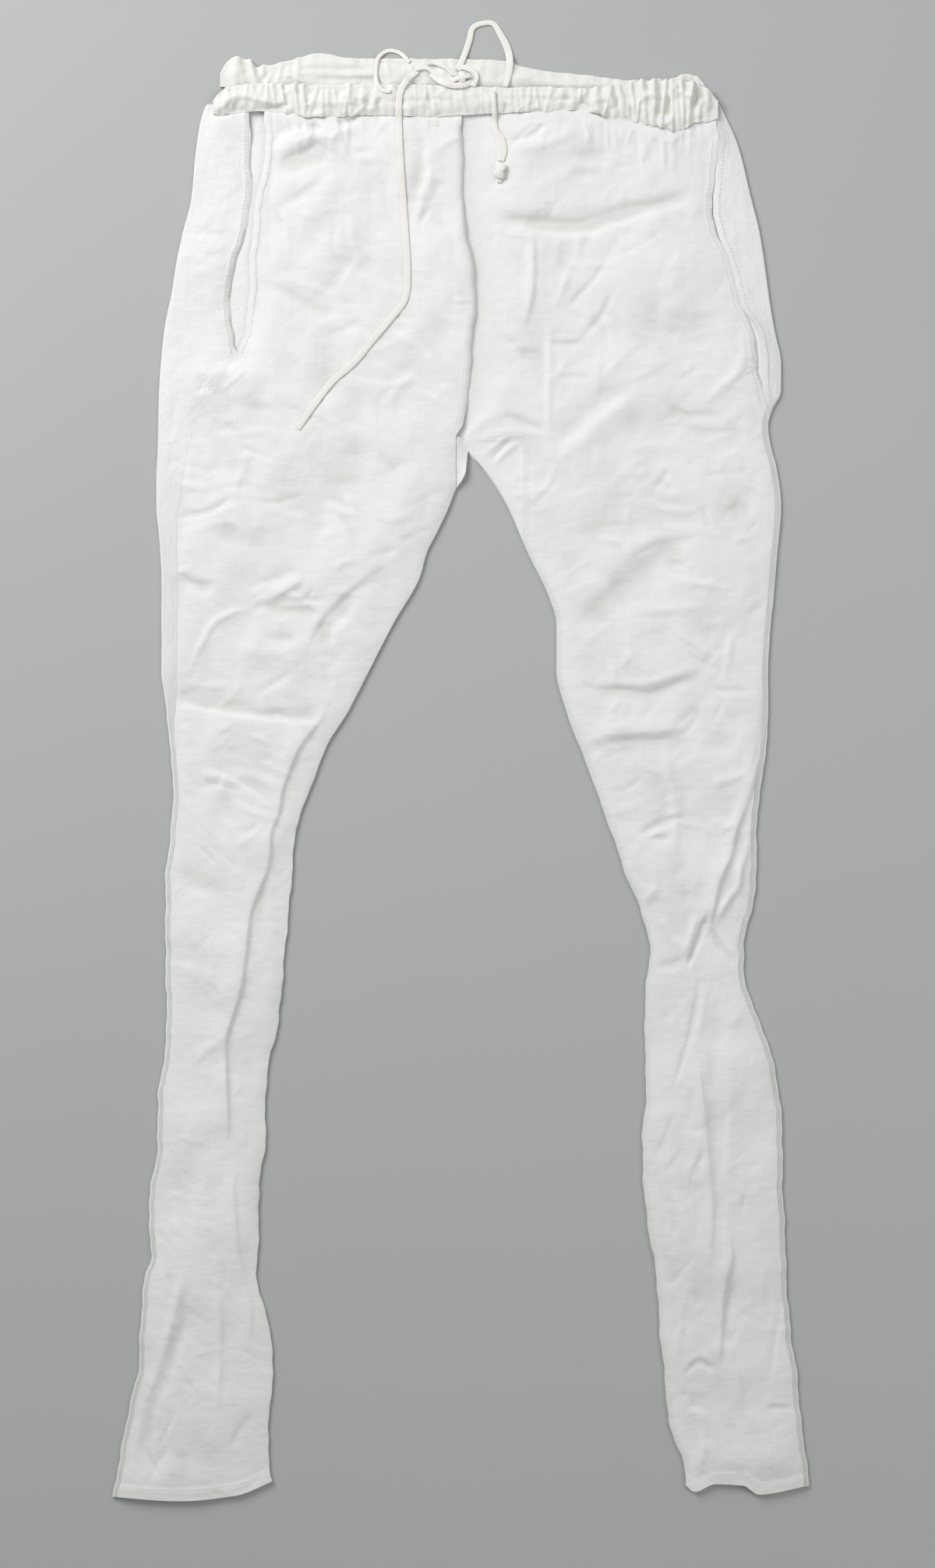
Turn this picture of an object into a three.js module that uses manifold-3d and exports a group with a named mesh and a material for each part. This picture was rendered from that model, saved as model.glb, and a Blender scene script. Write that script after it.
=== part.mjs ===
// Linen drawstring trousers with long narrow legs, laid flat with the front up. Two backs lie on the
// surface and turn up round the sides; two fronts and a gusset lie on them; a gathered casing goes
// round the waist, and a flat drawstring is tied in a bow at the centre front.
// Millimetres. +Z is up and +Y towards the waist. Right and left are the wearer's: right is at -X.
// "down" is the distance below the highest point of the waist, and "side" is -1 right and 1 left.
import * as THREE from "three";
import { mergeVertices } from "three/addons/utils/BufferGeometryUtils.js";
import Module from "manifold-3d";

const wasm = await Module();
wasm.setup();

// Driving sizes.
const LENGTH = 1114; // waist to hem
const CLOTH = 1.2; // wall of one layer of cloth
const GAP = 0.3; // between pieces that touch
const CROTCH = 307; // down, where the legs part
const PUFF = 1.6; // how far the front stands off the back
const EDGE_ROLL = 9; // the width over which the front comes down at its edges
const LIFT_LIMIT = 3.5; // the most that puff and folds may raise the front
const LAP = 8; // how far the right front laps over the left front
const FRONT_TOP = 40; // down, the upper edge of the fronts, under the casing
const BACK_CASING_THICK = 3.4;
const FRONT_CASING_THICK = 3.8;
const RIPPLE = 1.2; // the deepest gather of the front casing
const ROWS = 54; // of the long panels

const ON_BACK = CLOTH + GAP; // the underside of what lies on the backs
const ON_FRONT = ON_BACK + CLOTH + GAP; // the underside of what lies on the flat of the fronts
const ON_LAP = ON_FRONT + CLOTH + 0.4; // the underside of the front casing

const LINEN = new THREE.MeshStandardMaterial({ color: 0xeaeae8, roughness: 0.9, metalness: 0 });
const CASING_LINEN = new THREE.MeshStandardMaterial({ color: 0xe7e6df, roughness: 0.92, metalness: 0 });
const TAPE = new THREE.MeshStandardMaterial({ color: 0xeeede4, roughness: 0.85, metalness: 0 });

// Each leg's outline: x of the side (outer) and of the seat seam or inseam (inner).
const RIGHT_LEG = [
  { down: 20, outer: -183, inner: 4.5 },
  { down: 49, outer: -200, inner: 4.5 },
  { down: 80, outer: -205, inner: 4.5 },
  { down: 112, outer: -208, inner: 4.5 },
  { down: 140, outer: -215, inner: 4.5 },
  { down: 164, outer: -220, inner: 4.5 },
  { down: 184, outer: -223, inner: 4.5 },
  { down: 208, outer: -228, inner: 4.5 },
  { down: 233, outer: -231, inner: 4.5 },
  { down: 262, outer: -233, inner: 4.5 },
  { down: 307, outer: -234, inner: 4.5 },
  { down: 328, outer: -235, inner: 0 },
  { down: 337, outer: -235, inner: -5 },
  { down: 350, outer: -235, inner: -10 },
  { down: 371, outer: -233, inner: -20 },
  { down: 385, outer: -232, inner: -27 },
  { down: 403, outer: -231, inner: -32 },
  { down: 440, outer: -231, inner: -53 },
  { down: 475, outer: -231, inner: -71 },
  { down: 508, outer: -227, inner: -88 },
  { down: 530, outer: -225, inner: -102 },
  { down: 565, outer: -222, inner: -116 },
  { down: 601, outer: -224, inner: -128 },
  { down: 637, outer: -228, inner: -131 },
  { down: 691, outer: -228, inner: -136 },
  { down: 745, outer: -227, inner: -141 },
  { down: 781, outer: -230, inner: -149 },
  { down: 805, outer: -234, inner: -151 },
  { down: 840, outer: -234, inner: -151 },
  { down: 871, outer: -239, inner: -156 },
  { down: 890, outer: -241, inner: -156 },
  { down: 925, outer: -239, inner: -157 },
  { down: 943, outer: -244, inner: -158 },
  { down: 975, outer: -247, inner: -149 },
  { down: 1015, outer: -249, inner: -145 },
  { down: 1034, outer: -254, inner: -147 },
  { down: 1069, outer: -261, inner: -149 },
  { down: 1114, outer: -269, inner: -144 },
];
const LEFT_LEG = [
  { down: 20, outer: 188, inner: 4.5 },
  { down: 49, outer: 203, inner: 4.5 },
  { down: 72, outer: 213, inner: 4.5 },
  { down: 112, outer: 223, inner: 4.5 },
  { down: 136, outer: 229, inner: 4.5 },
  { down: 160, outer: 233, inner: 4.5 },
  { down: 190, outer: 237, inner: 4.5 },
  { down: 214, outer: 241, inner: 4.5 },
  { down: 240, outer: 246, inner: 4.5 },
  { down: 260, outer: 246, inner: 4.5 },
  { down: 275, outer: 239, inner: 4.5 },
  { down: 287, outer: 236, inner: 4.5 },
  { down: 307, outer: 239, inner: 4.5 },
  { down: 317, outer: 242, inner: 14 },
  { down: 349, outer: 246, inner: 35 },
  { down: 385, outer: 243, inner: 51 },
  { down: 421, outer: 240, inner: 68 },
  { down: 440, outer: 238, inner: 73 },
  { down: 475, outer: 236, inner: 73 },
  { down: 511, outer: 236, inner: 82 },
  { down: 547, outer: 233, inner: 96 },
  { down: 583, outer: 228, inner: 109 },
  { down: 605, outer: 227, inner: 117 },
  { down: 637, outer: 227, inner: 128 },
  { down: 655, outer: 224, inner: 136 },
  { down: 691, outer: 217, inner: 145 },
  { down: 704, outer: 217, inner: 144 },
  { down: 727, outer: 222, inner: 141 },
  { down: 763, outer: 236, inner: 141 },
  { down: 799, outer: 244, inner: 142 },
  { down: 835, outer: 247, inner: 139 },
  { down: 871, outer: 247, inner: 140 },
  { down: 907, outer: 249, inner: 144 },
  { down: 943, outer: 250, inner: 150 },
  { down: 990, outer: 254, inner: 153 },
  { down: 1015, outer: 258, inner: 156 },
  { down: 1051, outer: 261, inner: 159 },
  { down: 1087, outer: 266, inner: 171 },
  { down: 1114, outer: 268, inner: 174 },
];

// How far each back turns over on to the front, and the width of the slit between its edge and the
// front's. Below the slits it turns over just enough to close the side.
const RIGHT_SIDE = [
  { down: 40, wrap: 46, slit: 12 },
  { down: 80, wrap: 54, slit: 11 },
  { down: 112, wrap: 50, slit: 4 },
  { down: 140, wrap: 54, slit: 6 },
  { down: 164, wrap: 57, slit: 11 },
  { down: 184, wrap: 60, slit: 15 },
  { down: 208, wrap: 62, slit: 11 },
  { down: 236, wrap: 56, slit: 0.3 },
  { down: 262, wrap: 42, slit: 0.3 },
  { down: 295, wrap: 26, slit: 0.3 },
  { down: 340, wrap: 19, slit: 0.3 },
  { down: 384, wrap: 13, slit: 0.3 },
  { down: 475, wrap: 12, slit: 0.3 },
  { down: 530, wrap: 4, slit: 0.3 },
  { down: 1114, wrap: 4, slit: 0.3 },
];
const LEFT_SIDE = [
  { down: 40, wrap: 5, slit: 0.5 },
  { down: 72, wrap: 16, slit: 1 },
  { down: 136, wrap: 34, slit: 2 },
  { down: 160, wrap: 27, slit: 1 },
  { down: 190, wrap: 24, slit: 1 },
  { down: 214, wrap: 17, slit: 3 },
  { down: 240, wrap: 18, slit: 3.5 },
  { down: 262, wrap: 14, slit: 1 },
  { down: 275, wrap: 5, slit: 0.3 },
  { down: 1114, wrap: 4, slit: 0.3 },
];

// The hems, from the side (share 0) to the inseam (share 1).
const RIGHT_HEM = [
  { share: 0, down: 1111 },
  { share: 0.4, down: 1114 },
  { share: 0.75, down: 1110 },
  { share: 1, down: 1099 },
];
const LEFT_HEM = [
  { share: 0, down: 1103 },
  { share: 0.38, down: 1109 },
  { share: 0.52, down: 1102 },
  { share: 0.75, down: 1101 },
  { share: 0.93, down: 1107 },
  { share: 1, down: 1102 },
];

// The right front's centre edge, from the waist to the gusset.
const CENTRE_EDGE = [
  { down: 40, x: -4 },
  { down: 80, x: -1 },
  { down: 112, x: -1 },
  { down: 140, x: 2 },
  { down: 164, x: 7 },
  { down: 190, x: 9 },
  { down: 211, x: 7 },
  { down: 247, x: 4 },
  { down: 296, x: 0 },
  { down: 330, x: -2 },
];

// The gusset's seams with the fronts, and its fold, where the legs part.
const GUSSET_TOP = 296;
const GUSSET_RIGHT = -4;
const GUSSET_LEFT = 47.5;
const GUSSET_FOOT = [
  { x: -4, down: 335 },
  { x: 0, down: 328 },
  { x: 3.8, down: 312 },
  { x: 4.5, down: 307 },
  { x: 9, down: 311 },
  { x: 14, down: 317 },
  { x: 24, down: 329 },
  { x: 35, down: 348 },
  { x: 47.5, down: 377 },
];

// The casings: their upper edge and foot, and how deep they gather.
const BACK_CASING = [
  { x: -186, top: 8, foot: 26, gather: 0.8 },
  { x: -174, top: 3, foot: 24, gather: 0.8 },
  { x: -160, top: 10, foot: 24, gather: 0.8 },
  { x: -137, top: 7, foot: 23, gather: 0.6 },
  { x: -116, top: 0, foot: 22, gather: 0.4 },
  { x: -90, top: 3, foot: 23, gather: 0.3 },
  { x: -40, top: 4, foot: 23, gather: 0.6 },
  { x: 36, top: 5, foot: 24, gather: 0.6 },
  { x: 46, top: 10, foot: 27, gather: 0.4 },
  { x: 93, top: 17, foot: 33, gather: 0.3 },
  { x: 135, top: 21, foot: 37, gather: 0.6 },
  { x: 166, top: 20, foot: 39, gather: 0.8 },
  { x: 173, top: 15, foot: 39, gather: 0.8 },
  { x: 190, top: 27, foot: 39, gather: 0.8 },
];
const RIGHT_CASING = [
  { x: -191, top: 36, foot: 50, gather: 0.9 },
  { x: -178, top: 26, foot: 48, gather: 1.2 },
  { x: -157, top: 24, foot: 46, gather: 1.1 },
  { x: -137, top: 25, foot: 47, gather: 1.1 },
  { x: -115, top: 26, foot: 51, gather: 1.2 },
  { x: -67, top: 26, foot: 49, gather: 0.7 },
  { x: -28, top: 26, foot: 50, gather: 0.6 },
  { x: -4, top: 27, foot: 49, gather: 0.8 },
];
const LEFT_CASING = [
  { x: 2, top: 29, foot: 49, gather: 0.6 },
  { x: 39, top: 29, foot: 47, gather: 0.7 },
  { x: 65, top: 27, foot: 46, gather: 0.7 },
  { x: 91, top: 28, foot: 45, gather: 1 },
  { x: 119, top: 26, foot: 53, gather: 1.1 },
  { x: 140, top: 22, foot: 55, gather: 1.2 },
  { x: 163, top: 21, foot: 61, gather: 1.2 },
  { x: 184, top: 25, foot: 53, gather: 1.2 },
  { x: 197, top: 36, foot: 54, gather: 0.9 },
];

// The fronts' largest folds, each along three points: ridges, and troughs with a negative height.
const FOLDS = [
  { x0: -175, d0: 500, x1: -150, d1: 508, x2: -112, d2: 513, wide: 16, high: -1.5 },
  { x0: -218, d0: 554, x1: -175, d1: 566, x2: -140, d2: 583, wide: 16, high: 1.5 },
  { x0: -190, d0: 431, x1: -150, d1: 418, x2: -114, d2: 404, wide: 17, high: 1.7 },
  { x0: -42, d0: 393, x1: -70, d1: 406, x2: -110, d2: 442, wide: 17, high: 1.6 },
  { x0: -108, d0: 514, x1: -138, d1: 570, x2: -160, d2: 665, wide: 12, high: 1.8 },
  { x0: -160, d0: 665, x1: -172, d1: 740, x2: -183, d2: 765, wide: 12, high: 1.9 },
  { x0: -183, d0: 765, x1: -182, d1: 840, x2: -188, d2: 900, wide: 11, high: 1.5 },
  { x0: -214, d0: 935, x1: -232, d1: 985, x2: -250, d2: 1060, wide: 12, high: 1.7 },
  { x0: -172, d0: 905, x1: -166, d1: 960, x2: -165, d2: 1010, wide: 11, high: 1.4 },
  { x0: -145, d0: 70, x1: -110, d1: 66, x2: -75, d2: 54, wide: 18, high: 1.7 },
  { x0: -145, d0: 92, x1: -112, d1: 80, x2: -82, d2: 66, wide: 15, high: -1.5 },
  { x0: -150, d0: 130, x1: -128, d1: 118, x2: -100, d2: 100, wide: 16, high: -1.2 },
  { x0: 14, d0: 125, x1: 96, d1: 136, x2: 180, d2: 110, wide: 24, high: -1.5 },
  { x0: 35, d0: 68, x1: 60, d1: 64, x2: 85, d2: 52, wide: 15, high: -1.3 },
  { x0: 60, d0: 136, x1: 58, d1: 170, x2: 50, d2: 210, wide: 15, high: 1.5 },
  { x0: 72, d0: 306, x1: 105, d1: 282, x2: 142, d2: 258, wide: 19, high: 1.8 },
  { x0: 90, d0: 455, x1: 130, d1: 390, x2: 190, d2: 355, wide: 26, high: -1.5 },
  { x0: 98, d0: 530, x1: 145, d1: 524, x2: 180, d2: 518, wide: 17, high: -1.5 },
  { x0: 160, d0: 532, x1: 166, d1: 590, x2: 164, d2: 640, wide: 14, high: 1.5 },
  { x0: 226, d0: 560, x1: 196, d1: 655, x2: 176, d2: 705, wide: 12, high: 1.9 },
  { x0: 180, d0: 715, x1: 178, d1: 770, x2: 164, d2: 802, wide: 12, high: 1.7 },
  { x0: 200, d0: 730, x1: 196, d1: 850, x2: 190, d2: 935, wide: 12, high: -1.4 },
  { x0: 212, d0: 760, x1: 212, d1: 880, x2: 208, d2: 960, wide: 11, high: 1.6 },
  { x0: 150, d0: 830, x1: 156, d1: 900, x2: 172, d2: 990, wide: 11, high: 1.5 },
  { x0: 172, d0: 1016, x1: 190, d1: 1008, x2: 212, d2: 1016, wide: 13, high: 1.7 },
];

// The drawstring's stretches: where each runs, and its width and thickness there.
const LONG_END = [
  { x: -34, down: 15, wide: 4, thick: 2 },
  { x: -40, down: 20, wide: 4.4, thick: 1.8 },
  { x: -45, down: 27, wide: 4.8, thick: 1.6 },
  { x: -48, down: 36, wide: 5, thick: 1.6 },
  { x: -48, down: 62, wide: 5, thick: 1.6 },
  { x: -46, down: 98, wide: 5, thick: 1.6 },
  { x: -43, down: 140, wide: 5, thick: 1.6 },
  { x: -41.5, down: 170, wide: 5, thick: 1.6 },
  { x: -43.5, down: 190, wide: 5, thick: 1.6 },
  { x: -52, down: 202, wide: 5, thick: 1.6 },
  { x: -67, down: 220, wide: 5, thick: 1.6 },
  { x: -82, down: 238, wide: 5, thick: 1.6 },
  { x: -100, down: 254, wide: 5, thick: 1.6 },
  { x: -115, down: 274, wide: 5, thick: 1.6 },
  { x: -126, down: 290, wide: 5, thick: 1.6 },
];
const SHORT_END = [
  { x: 24, down: 31, wide: 3.7, thick: 2 },
  { x: 25, down: 45, wide: 3.7, thick: 2 },
  { x: 26, down: 60, wide: 4.5, thick: 1.8 },
  { x: 30, down: 68, wide: 7, thick: 1.5 },
  { x: 31, down: 77, wide: 7.4, thick: 1.5 },
  { x: 30, down: 84, wide: 5.5, thick: 1.8 },
];
const SMALL_LOOP = [
  { x: -40, down: 7.5, wide: 3, thick: 1.6 },
  { x: -48, down: 0, wide: 3, thick: 1.6 },
  { x: -57, down: -1.5, wide: 3, thick: 1.6 },
  { x: -64, down: 4, wide: 3, thick: 1.6 },
  { x: -66, down: 15, wide: 3, thick: 1.6 },
  { x: -65, down: 25, wide: 3, thick: 1.6 },
  { x: -60, down: 30.5, wide: 3, thick: 1.6 },
  { x: -54.5, down: 31, wide: 3, thick: 1.6 },
];
const LARGE_LOOP = [
  { x: -3, down: 14.5, wide: 4.4, thick: 1.6 },
  { x: 1.5, down: 3.5, wide: 4.6, thick: 1.6 },
  { x: 6, down: -10, wide: 4.6, thick: 1.6 },
  { x: 8.5, down: -19, wide: 4.2, thick: 1.6 },
  { x: 15, down: -22.5, wide: 3.8, thick: 1.6 },
  { x: 24, down: -22.5, wide: 3.8, thick: 1.6 },
  { x: 30, down: -14, wide: 5, thick: 1.6 },
  { x: 35, down: -4, wide: 5.6, thick: 1.6 },
  { x: 37, down: 6, wide: 5.4, thick: 1.6 },
  { x: 36, down: 19, wide: 4.4, thick: 1.6 },
  { x: 33.5, down: 27, wide: 3.6, thick: 1.8 },
];
const TANGLE = [
  { x: -27, down: 12.5, wide: 3.6, thick: 2.4 },
  { x: -20, down: 17, wide: 4.4, thick: 3 },
  { x: -13, down: 21, wide: 4.4, thick: 3 },
  { x: -5, down: 22, wide: 4.4, thick: 3 },
];
const BOW_KNOT = { x: 0.5, down: 21.4, width: 16, depth: 7.4, height: 6.4 };
const TIP_KNOT = { x: 29.5, down: 93.5, width: 10, depth: 14.5, height: 5.6 };

// A smooth curve through one column of a table that never runs past its rows (a monotone cubic).
function column(rows, key, along = "down") {
  const at = rows.map((row) => row[along]);
  const value = rows.map((row) => row[key]);
  const rise = at.slice(1).map((a, i) => (value[i + 1] - value[i]) / (a - at[i]));
  const slope = value.map((_, i) => {
    const before = rise[Math.max(i - 1, 0)];
    const after = rise[Math.min(i, rise.length - 1)];
    return before * after <= 0 ? 0 : (2 * before * after) / (before + after);
  });
  return (where) => {
    const a = THREE.MathUtils.clamp(where, at[0], at.at(-1));
    const k = Math.max(at.findLastIndex((edge, i) => edge <= a && i < at.length - 1), 0);
    const step = at[k + 1] - at[k];
    const t = (a - at[k]) / step;
    return (
      value[k] * (1 + 2 * t) * (1 - t) ** 2 +
      slope[k] * step * t * (1 - t) ** 2 +
      value[k + 1] * t * t * (3 - 2 * t) +
      slope[k + 1] * step * t * t * (t - 1)
    );
  };
}

function legOf(side, outline, sideRows, hem) {
  return {
    side,
    outer: column(outline, "outer"),
    inner: column(outline, "inner"),
    wrap: column(sideRows, "wrap"),
    slit: column(sideRows, "slit"),
    hem: column(hem, "down", "share"),
  };
}
const RIGHT = legOf(-1, RIGHT_LEG, RIGHT_SIDE, RIGHT_HEM);
const LEFT = legOf(1, LEFT_LEG, LEFT_SIDE, LEFT_HEM);
const centreEdge = column(CENTRE_EDGE, "x");
const gussetFoot = column(GUSSET_FOOT, "down", "x");
const casingOf = (rows) => ({
  from: rows[0].x,
  to: rows.at(-1).x,
  top: column(rows, "top", "x"),
  foot: column(rows, "foot", "x"),
  gather: column(rows, "gather", "x"),
});
const backCasing = casingOf(BACK_CASING);
const rightCasing = casingOf(RIGHT_CASING);
const leftCasing = casingOf(LEFT_CASING);
const toY = (down) => LENGTH / 2 - down;
const frontEdge = (leg, down) => leg.outer(down) - leg.side * leg.wrap(down);

// How far one fold lifts the cloth: a rounded hump across it, faded out at both ends.
function foldLift(fold, x, down) {
  const ends = [
    [fold.x0, fold.d0],
    [fold.x1, fold.d1],
    [fold.x2, fold.d2],
  ];
  const lengths = [0, 1].map((i) => Math.hypot(ends[i + 1][0] - ends[i][0], ends[i + 1][1] - ends[i][1]));
  let nearest = Infinity;
  let along = 0;
  for (const i of [0, 1]) {
    const [ax, ad] = ends[i];
    const ux = (ends[i + 1][0] - ax) / lengths[i];
    const ud = (ends[i + 1][1] - ad) / lengths[i];
    const t = THREE.MathUtils.clamp((x - ax) * ux + (down - ad) * ud, 0, lengths[i]);
    const distance = Math.hypot(x - ax - t * ux, down - ad - t * ud);
    if (distance < nearest) {
      nearest = distance;
      along = (i * lengths[0] + t) / (lengths[0] + lengths[1]);
    }
  }
  if (nearest >= fold.wide) return 0;
  const fade = THREE.MathUtils.smoothstep(Math.min(along, 1 - along), -0.1, 0.2);
  return fold.high * fade * (1 - (nearest / fold.wide) ** 2) ** 2;
}

// The underside of a front: down on the back at its edges, puffed up between them with the folds on
// top, and up under the casing at the waist.
function underside(leg, x, down) {
  const toSide = Math.abs(x - frontEdge(leg, down));
  const toInseam = Math.abs(x - leg.inner(down)) + Math.max(0, CROTCH - down);
  const puff = PUFF * (1 - Math.exp(-Math.min(toSide, toInseam) / EDGE_ROLL));
  const folds = FOLDS.reduce((sum, fold) => sum + foldLift(fold, x, down), 0);
  const lift = THREE.MathUtils.clamp(puff + folds, 0, LIFT_LIMIT);
  const below = THREE.MathUtils.smoothstep(down, FRONT_TOP + 15, FRONT_TOP + 34);
  return ON_BACK + THREE.MathUtils.lerp(ON_FRONT - ON_BACK, lift, below);
}
function rightUnderside(x, down) {
  const edge = centreEdge(down);
  const over = THREE.MathUtils.smoothstep(x, edge - LAP - 22, edge - LAP - 4);
  const fade = 1 - THREE.MathUtils.smoothstep(down, GUSSET_TOP + 4, GUSSET_TOP + 22);
  const rolled = 0.5 * THREE.MathUtils.smoothstep(down, FRONT_TOP + 20, FRONT_TOP + 45);
  return Math.max(underside(RIGHT, x, down), (ON_FRONT + rolled) * over * fade);
}
function leftUnderside(x, down) {
  const edge = centreEdge(down);
  const clear = THREE.MathUtils.smoothstep(x, edge + 3, edge + 22);
  const flat = down < GUSSET_TOP + 10 ? clear : 1;
  return THREE.MathUtils.lerp(ON_BACK, underside(LEFT, x, down), flat);
}

function closed(positions, index) {
  const geometry = new THREE.BufferGeometry();
  geometry.setAttribute("position", new THREE.Float32BufferAttribute(positions, 3));
  geometry.setIndex(index);
  return facingOut(geometry);
}

// Turns a closed mesh's faces round if they point inwards, by the sign of its volume.
function facingOut(geometry) {
  const p = geometry.attributes.position;
  const index = geometry.index.array;
  const [a, b, c] = [new THREE.Vector3(), new THREE.Vector3(), new THREE.Vector3()];
  let volume = 0;
  for (let i = 0; i < index.length; i += 3) {
    a.fromBufferAttribute(p, index[i]);
    b.fromBufferAttribute(p, index[i + 1]);
    c.fromBufferAttribute(p, index[i + 2]);
    volume += a.dot(b.cross(c));
  }
  if (volume < 0)
    for (let i = 0; i < index.length; i += 3) [index[i + 1], index[i + 2]] = [index[i + 2], index[i + 1]];
  return geometry;
}

// The rows of the long panels lie closer together at the waist.
const rowDown = (top, hem, t) => THREE.MathUtils.lerp(top, hem, t * (0.8 + 0.2 * t));

// A closed wall between two faces, each a function of the grid's shares (s, t) that gives a point.
function wall(columns, rows, one, other) {
  const positions = [];
  for (const face of [one, other])
    for (let j = 0; j <= rows; j++)
      for (let i = 0; i <= columns; i++) positions.push(...face(i / columns, j / rows));
  const at = (face, i, j) => (face * (rows + 1) + j) * (columns + 1) + i;
  const index = [];
  const quad = (a, b, c, d) => index.push(a, b, c, a, c, d);
  for (let j = 0; j < rows; j++)
    for (let i = 0; i < columns; i++) {
      quad(at(0, i, j), at(0, i, j + 1), at(0, i + 1, j + 1), at(0, i + 1, j));
      quad(at(1, i, j), at(1, i + 1, j), at(1, i + 1, j + 1), at(1, i, j + 1));
    }
  for (let i = 0; i < columns; i++) {
    quad(at(0, i, 0), at(0, i + 1, 0), at(1, i + 1, 0), at(1, i, 0));
    quad(at(0, i + 1, rows), at(0, i, rows), at(1, i, rows), at(1, i + 1, rows));
  }
  for (let j = 0; j < rows; j++) {
    quad(at(0, 0, j + 1), at(0, 0, j), at(1, 0, j), at(1, 0, j + 1));
    quad(at(0, columns, j), at(0, columns, j + 1), at(1, columns, j + 1), at(1, columns, j));
  }
  return closed(positions, index);
}

// A skin over rings of points, hollowed right through by inner rings, or capped if there are none.
function skin(outer, inner) {
  const sides = outer[0].length;
  const last = outer.length - 1;
  const positions = [outer, inner ?? []].flat(3);
  const at = (layer, i, k) => (layer * (last + 1) + i) * sides + (k % sides);
  const index = [];
  const quad = (a, b, c, d) => index.push(a, b, c, a, c, d);
  for (let i = 0; i < last; i++)
    for (let k = 0; k < sides; k++) {
      quad(at(0, i, k), at(0, i + 1, k), at(0, i + 1, k + 1), at(0, i, k + 1));
      if (inner) quad(at(1, i, k), at(1, i, k + 1), at(1, i + 1, k + 1), at(1, i + 1, k));
    }
  for (let k = 0; k < sides && inner; k++) {
    quad(at(0, 0, k), at(0, 0, k + 1), at(1, 0, k + 1), at(1, 0, k));
    quad(at(0, last, k + 1), at(0, last, k), at(1, last, k), at(1, last, k + 1));
  }
  for (let k = 1; k < sides - 1 && !inner; k++) {
    index.push(at(0, 0, 0), at(0, 0, k), at(0, 0, k + 1));
    index.push(at(0, last, 0), at(0, last, k + 1), at(0, last, k));
  }
  return closed(positions, index);
}

function solid(geometry) {
  const bare = geometry.clone();
  bare.deleteAttribute("normal");
  bare.deleteAttribute("uv");
  const merged = mergeVertices(bare, 1e-3);
  const vertProperties = merged.attributes.position.array;
  const triVerts = new Uint32Array(merged.index.array);
  return new wasm.Manifold(new wasm.Mesh({ numProp: 3, vertProperties, triVerts }));
}
function fromSolid(manifold) {
  const mesh = manifold.getMesh();
  return closed(Array.from(mesh.vertProperties), Array.from(mesh.triVerts));
}
const joined = (...geometries) => fromSolid(geometries.map(solid).reduce((a, b) => a.add(b)));

// Where the gusset is let in: a block through the fronts, wider than it by the gap.
function gussetPlace(fromX) {
  const size = [GUSSET_LEFT + GAP - fromX, 110, 30];
  const block = new THREE.BoxGeometry(...size);
  return solid(block.translate(fromX + size[0] / 2, toY(GUSSET_TOP - GAP + size[1] / 2), 0));
}

function frontPanel(leg, innerEdge, lower, cutFrom) {
  const face = (up) => (s, t) => {
    const share = THREE.MathUtils.lerp(s, (1 - Math.cos(Math.PI * s)) / 2, 0.45);
    const down = rowDown(FRONT_TOP, leg.hem(share), t);
    const x = THREE.MathUtils.lerp(frontEdge(leg, down), innerEdge(down), share);
    return [x, toY(down), lower(x, down) + up];
  };
  return fromSolid(solid(wall(14, ROWS, face(0), face(CLOTH))).subtract(gussetPlace(cutFrom)));
}

// A back: flat on the surface from the seat seam or inseam to the side, round it and over on to the
// front, as far as the slit. Section shares: 0 to 0.4 flat, to 0.8 the turn, to 1 the strip on top.
const TURN = (ON_BACK + CLOTH) / 2;
function backPanel(leg) {
  const flatTop = (share) => {
    let down = FRONT_TOP;
    for (let i = 0; i < 12; i++) {
      const x = THREE.MathUtils.lerp(leg.inner(down), leg.outer(down), share);
      down = backCasing.foot(x) + GAP;
    }
    return down;
  };
  const face = (radius, low, high) => (s, t) => {
    const share = Math.min(s / 0.4, 1);
    const turned = THREE.MathUtils.clamp((s - 0.4) / 0.4, 0, 1);
    const top = THREE.MathUtils.lerp(flatTop(share), FRONT_TOP, THREE.MathUtils.smoothstep(share, 0.6, 1));
    const down = rowDown(top, leg.hem(1 - share), t);
    const seam = leg.inner(down) + (down < CROTCH + 15 ? (leg.side * GAP) / 2 : 0);
    const bend = leg.outer(down) - leg.side * TURN;
    if (s <= 0.4) return [THREE.MathUtils.lerp(seam, bend, share), toY(down), low];
    if (turned < 1) {
      const angle = Math.PI * (turned - 0.5);
      return [bend + leg.side * radius * Math.cos(angle), toY(down), TURN + radius * Math.sin(angle)];
    }
    const stripEnd = frontEdge(leg, down) + leg.side * leg.slit(down);
    return [THREE.MathUtils.lerp(bend, stripEnd, (s - 0.8) / 0.2), toY(down), high];
  };
  return wall(10, ROWS, face(TURN, 0, 2 * TURN), face(TURN - CLOTH, CLOTH, ON_BACK));
}

function gussetPanel() {
  const face = (up) => (s, t) => {
    const x = THREE.MathUtils.lerp(GUSSET_RIGHT, GUSSET_LEFT, s);
    return [x, toY(THREE.MathUtils.lerp(GUSSET_TOP, gussetFoot(x), t)), ON_BACK + up];
  };
  return wall(14, 4, face(0), face(CLOTH));
}

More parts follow.
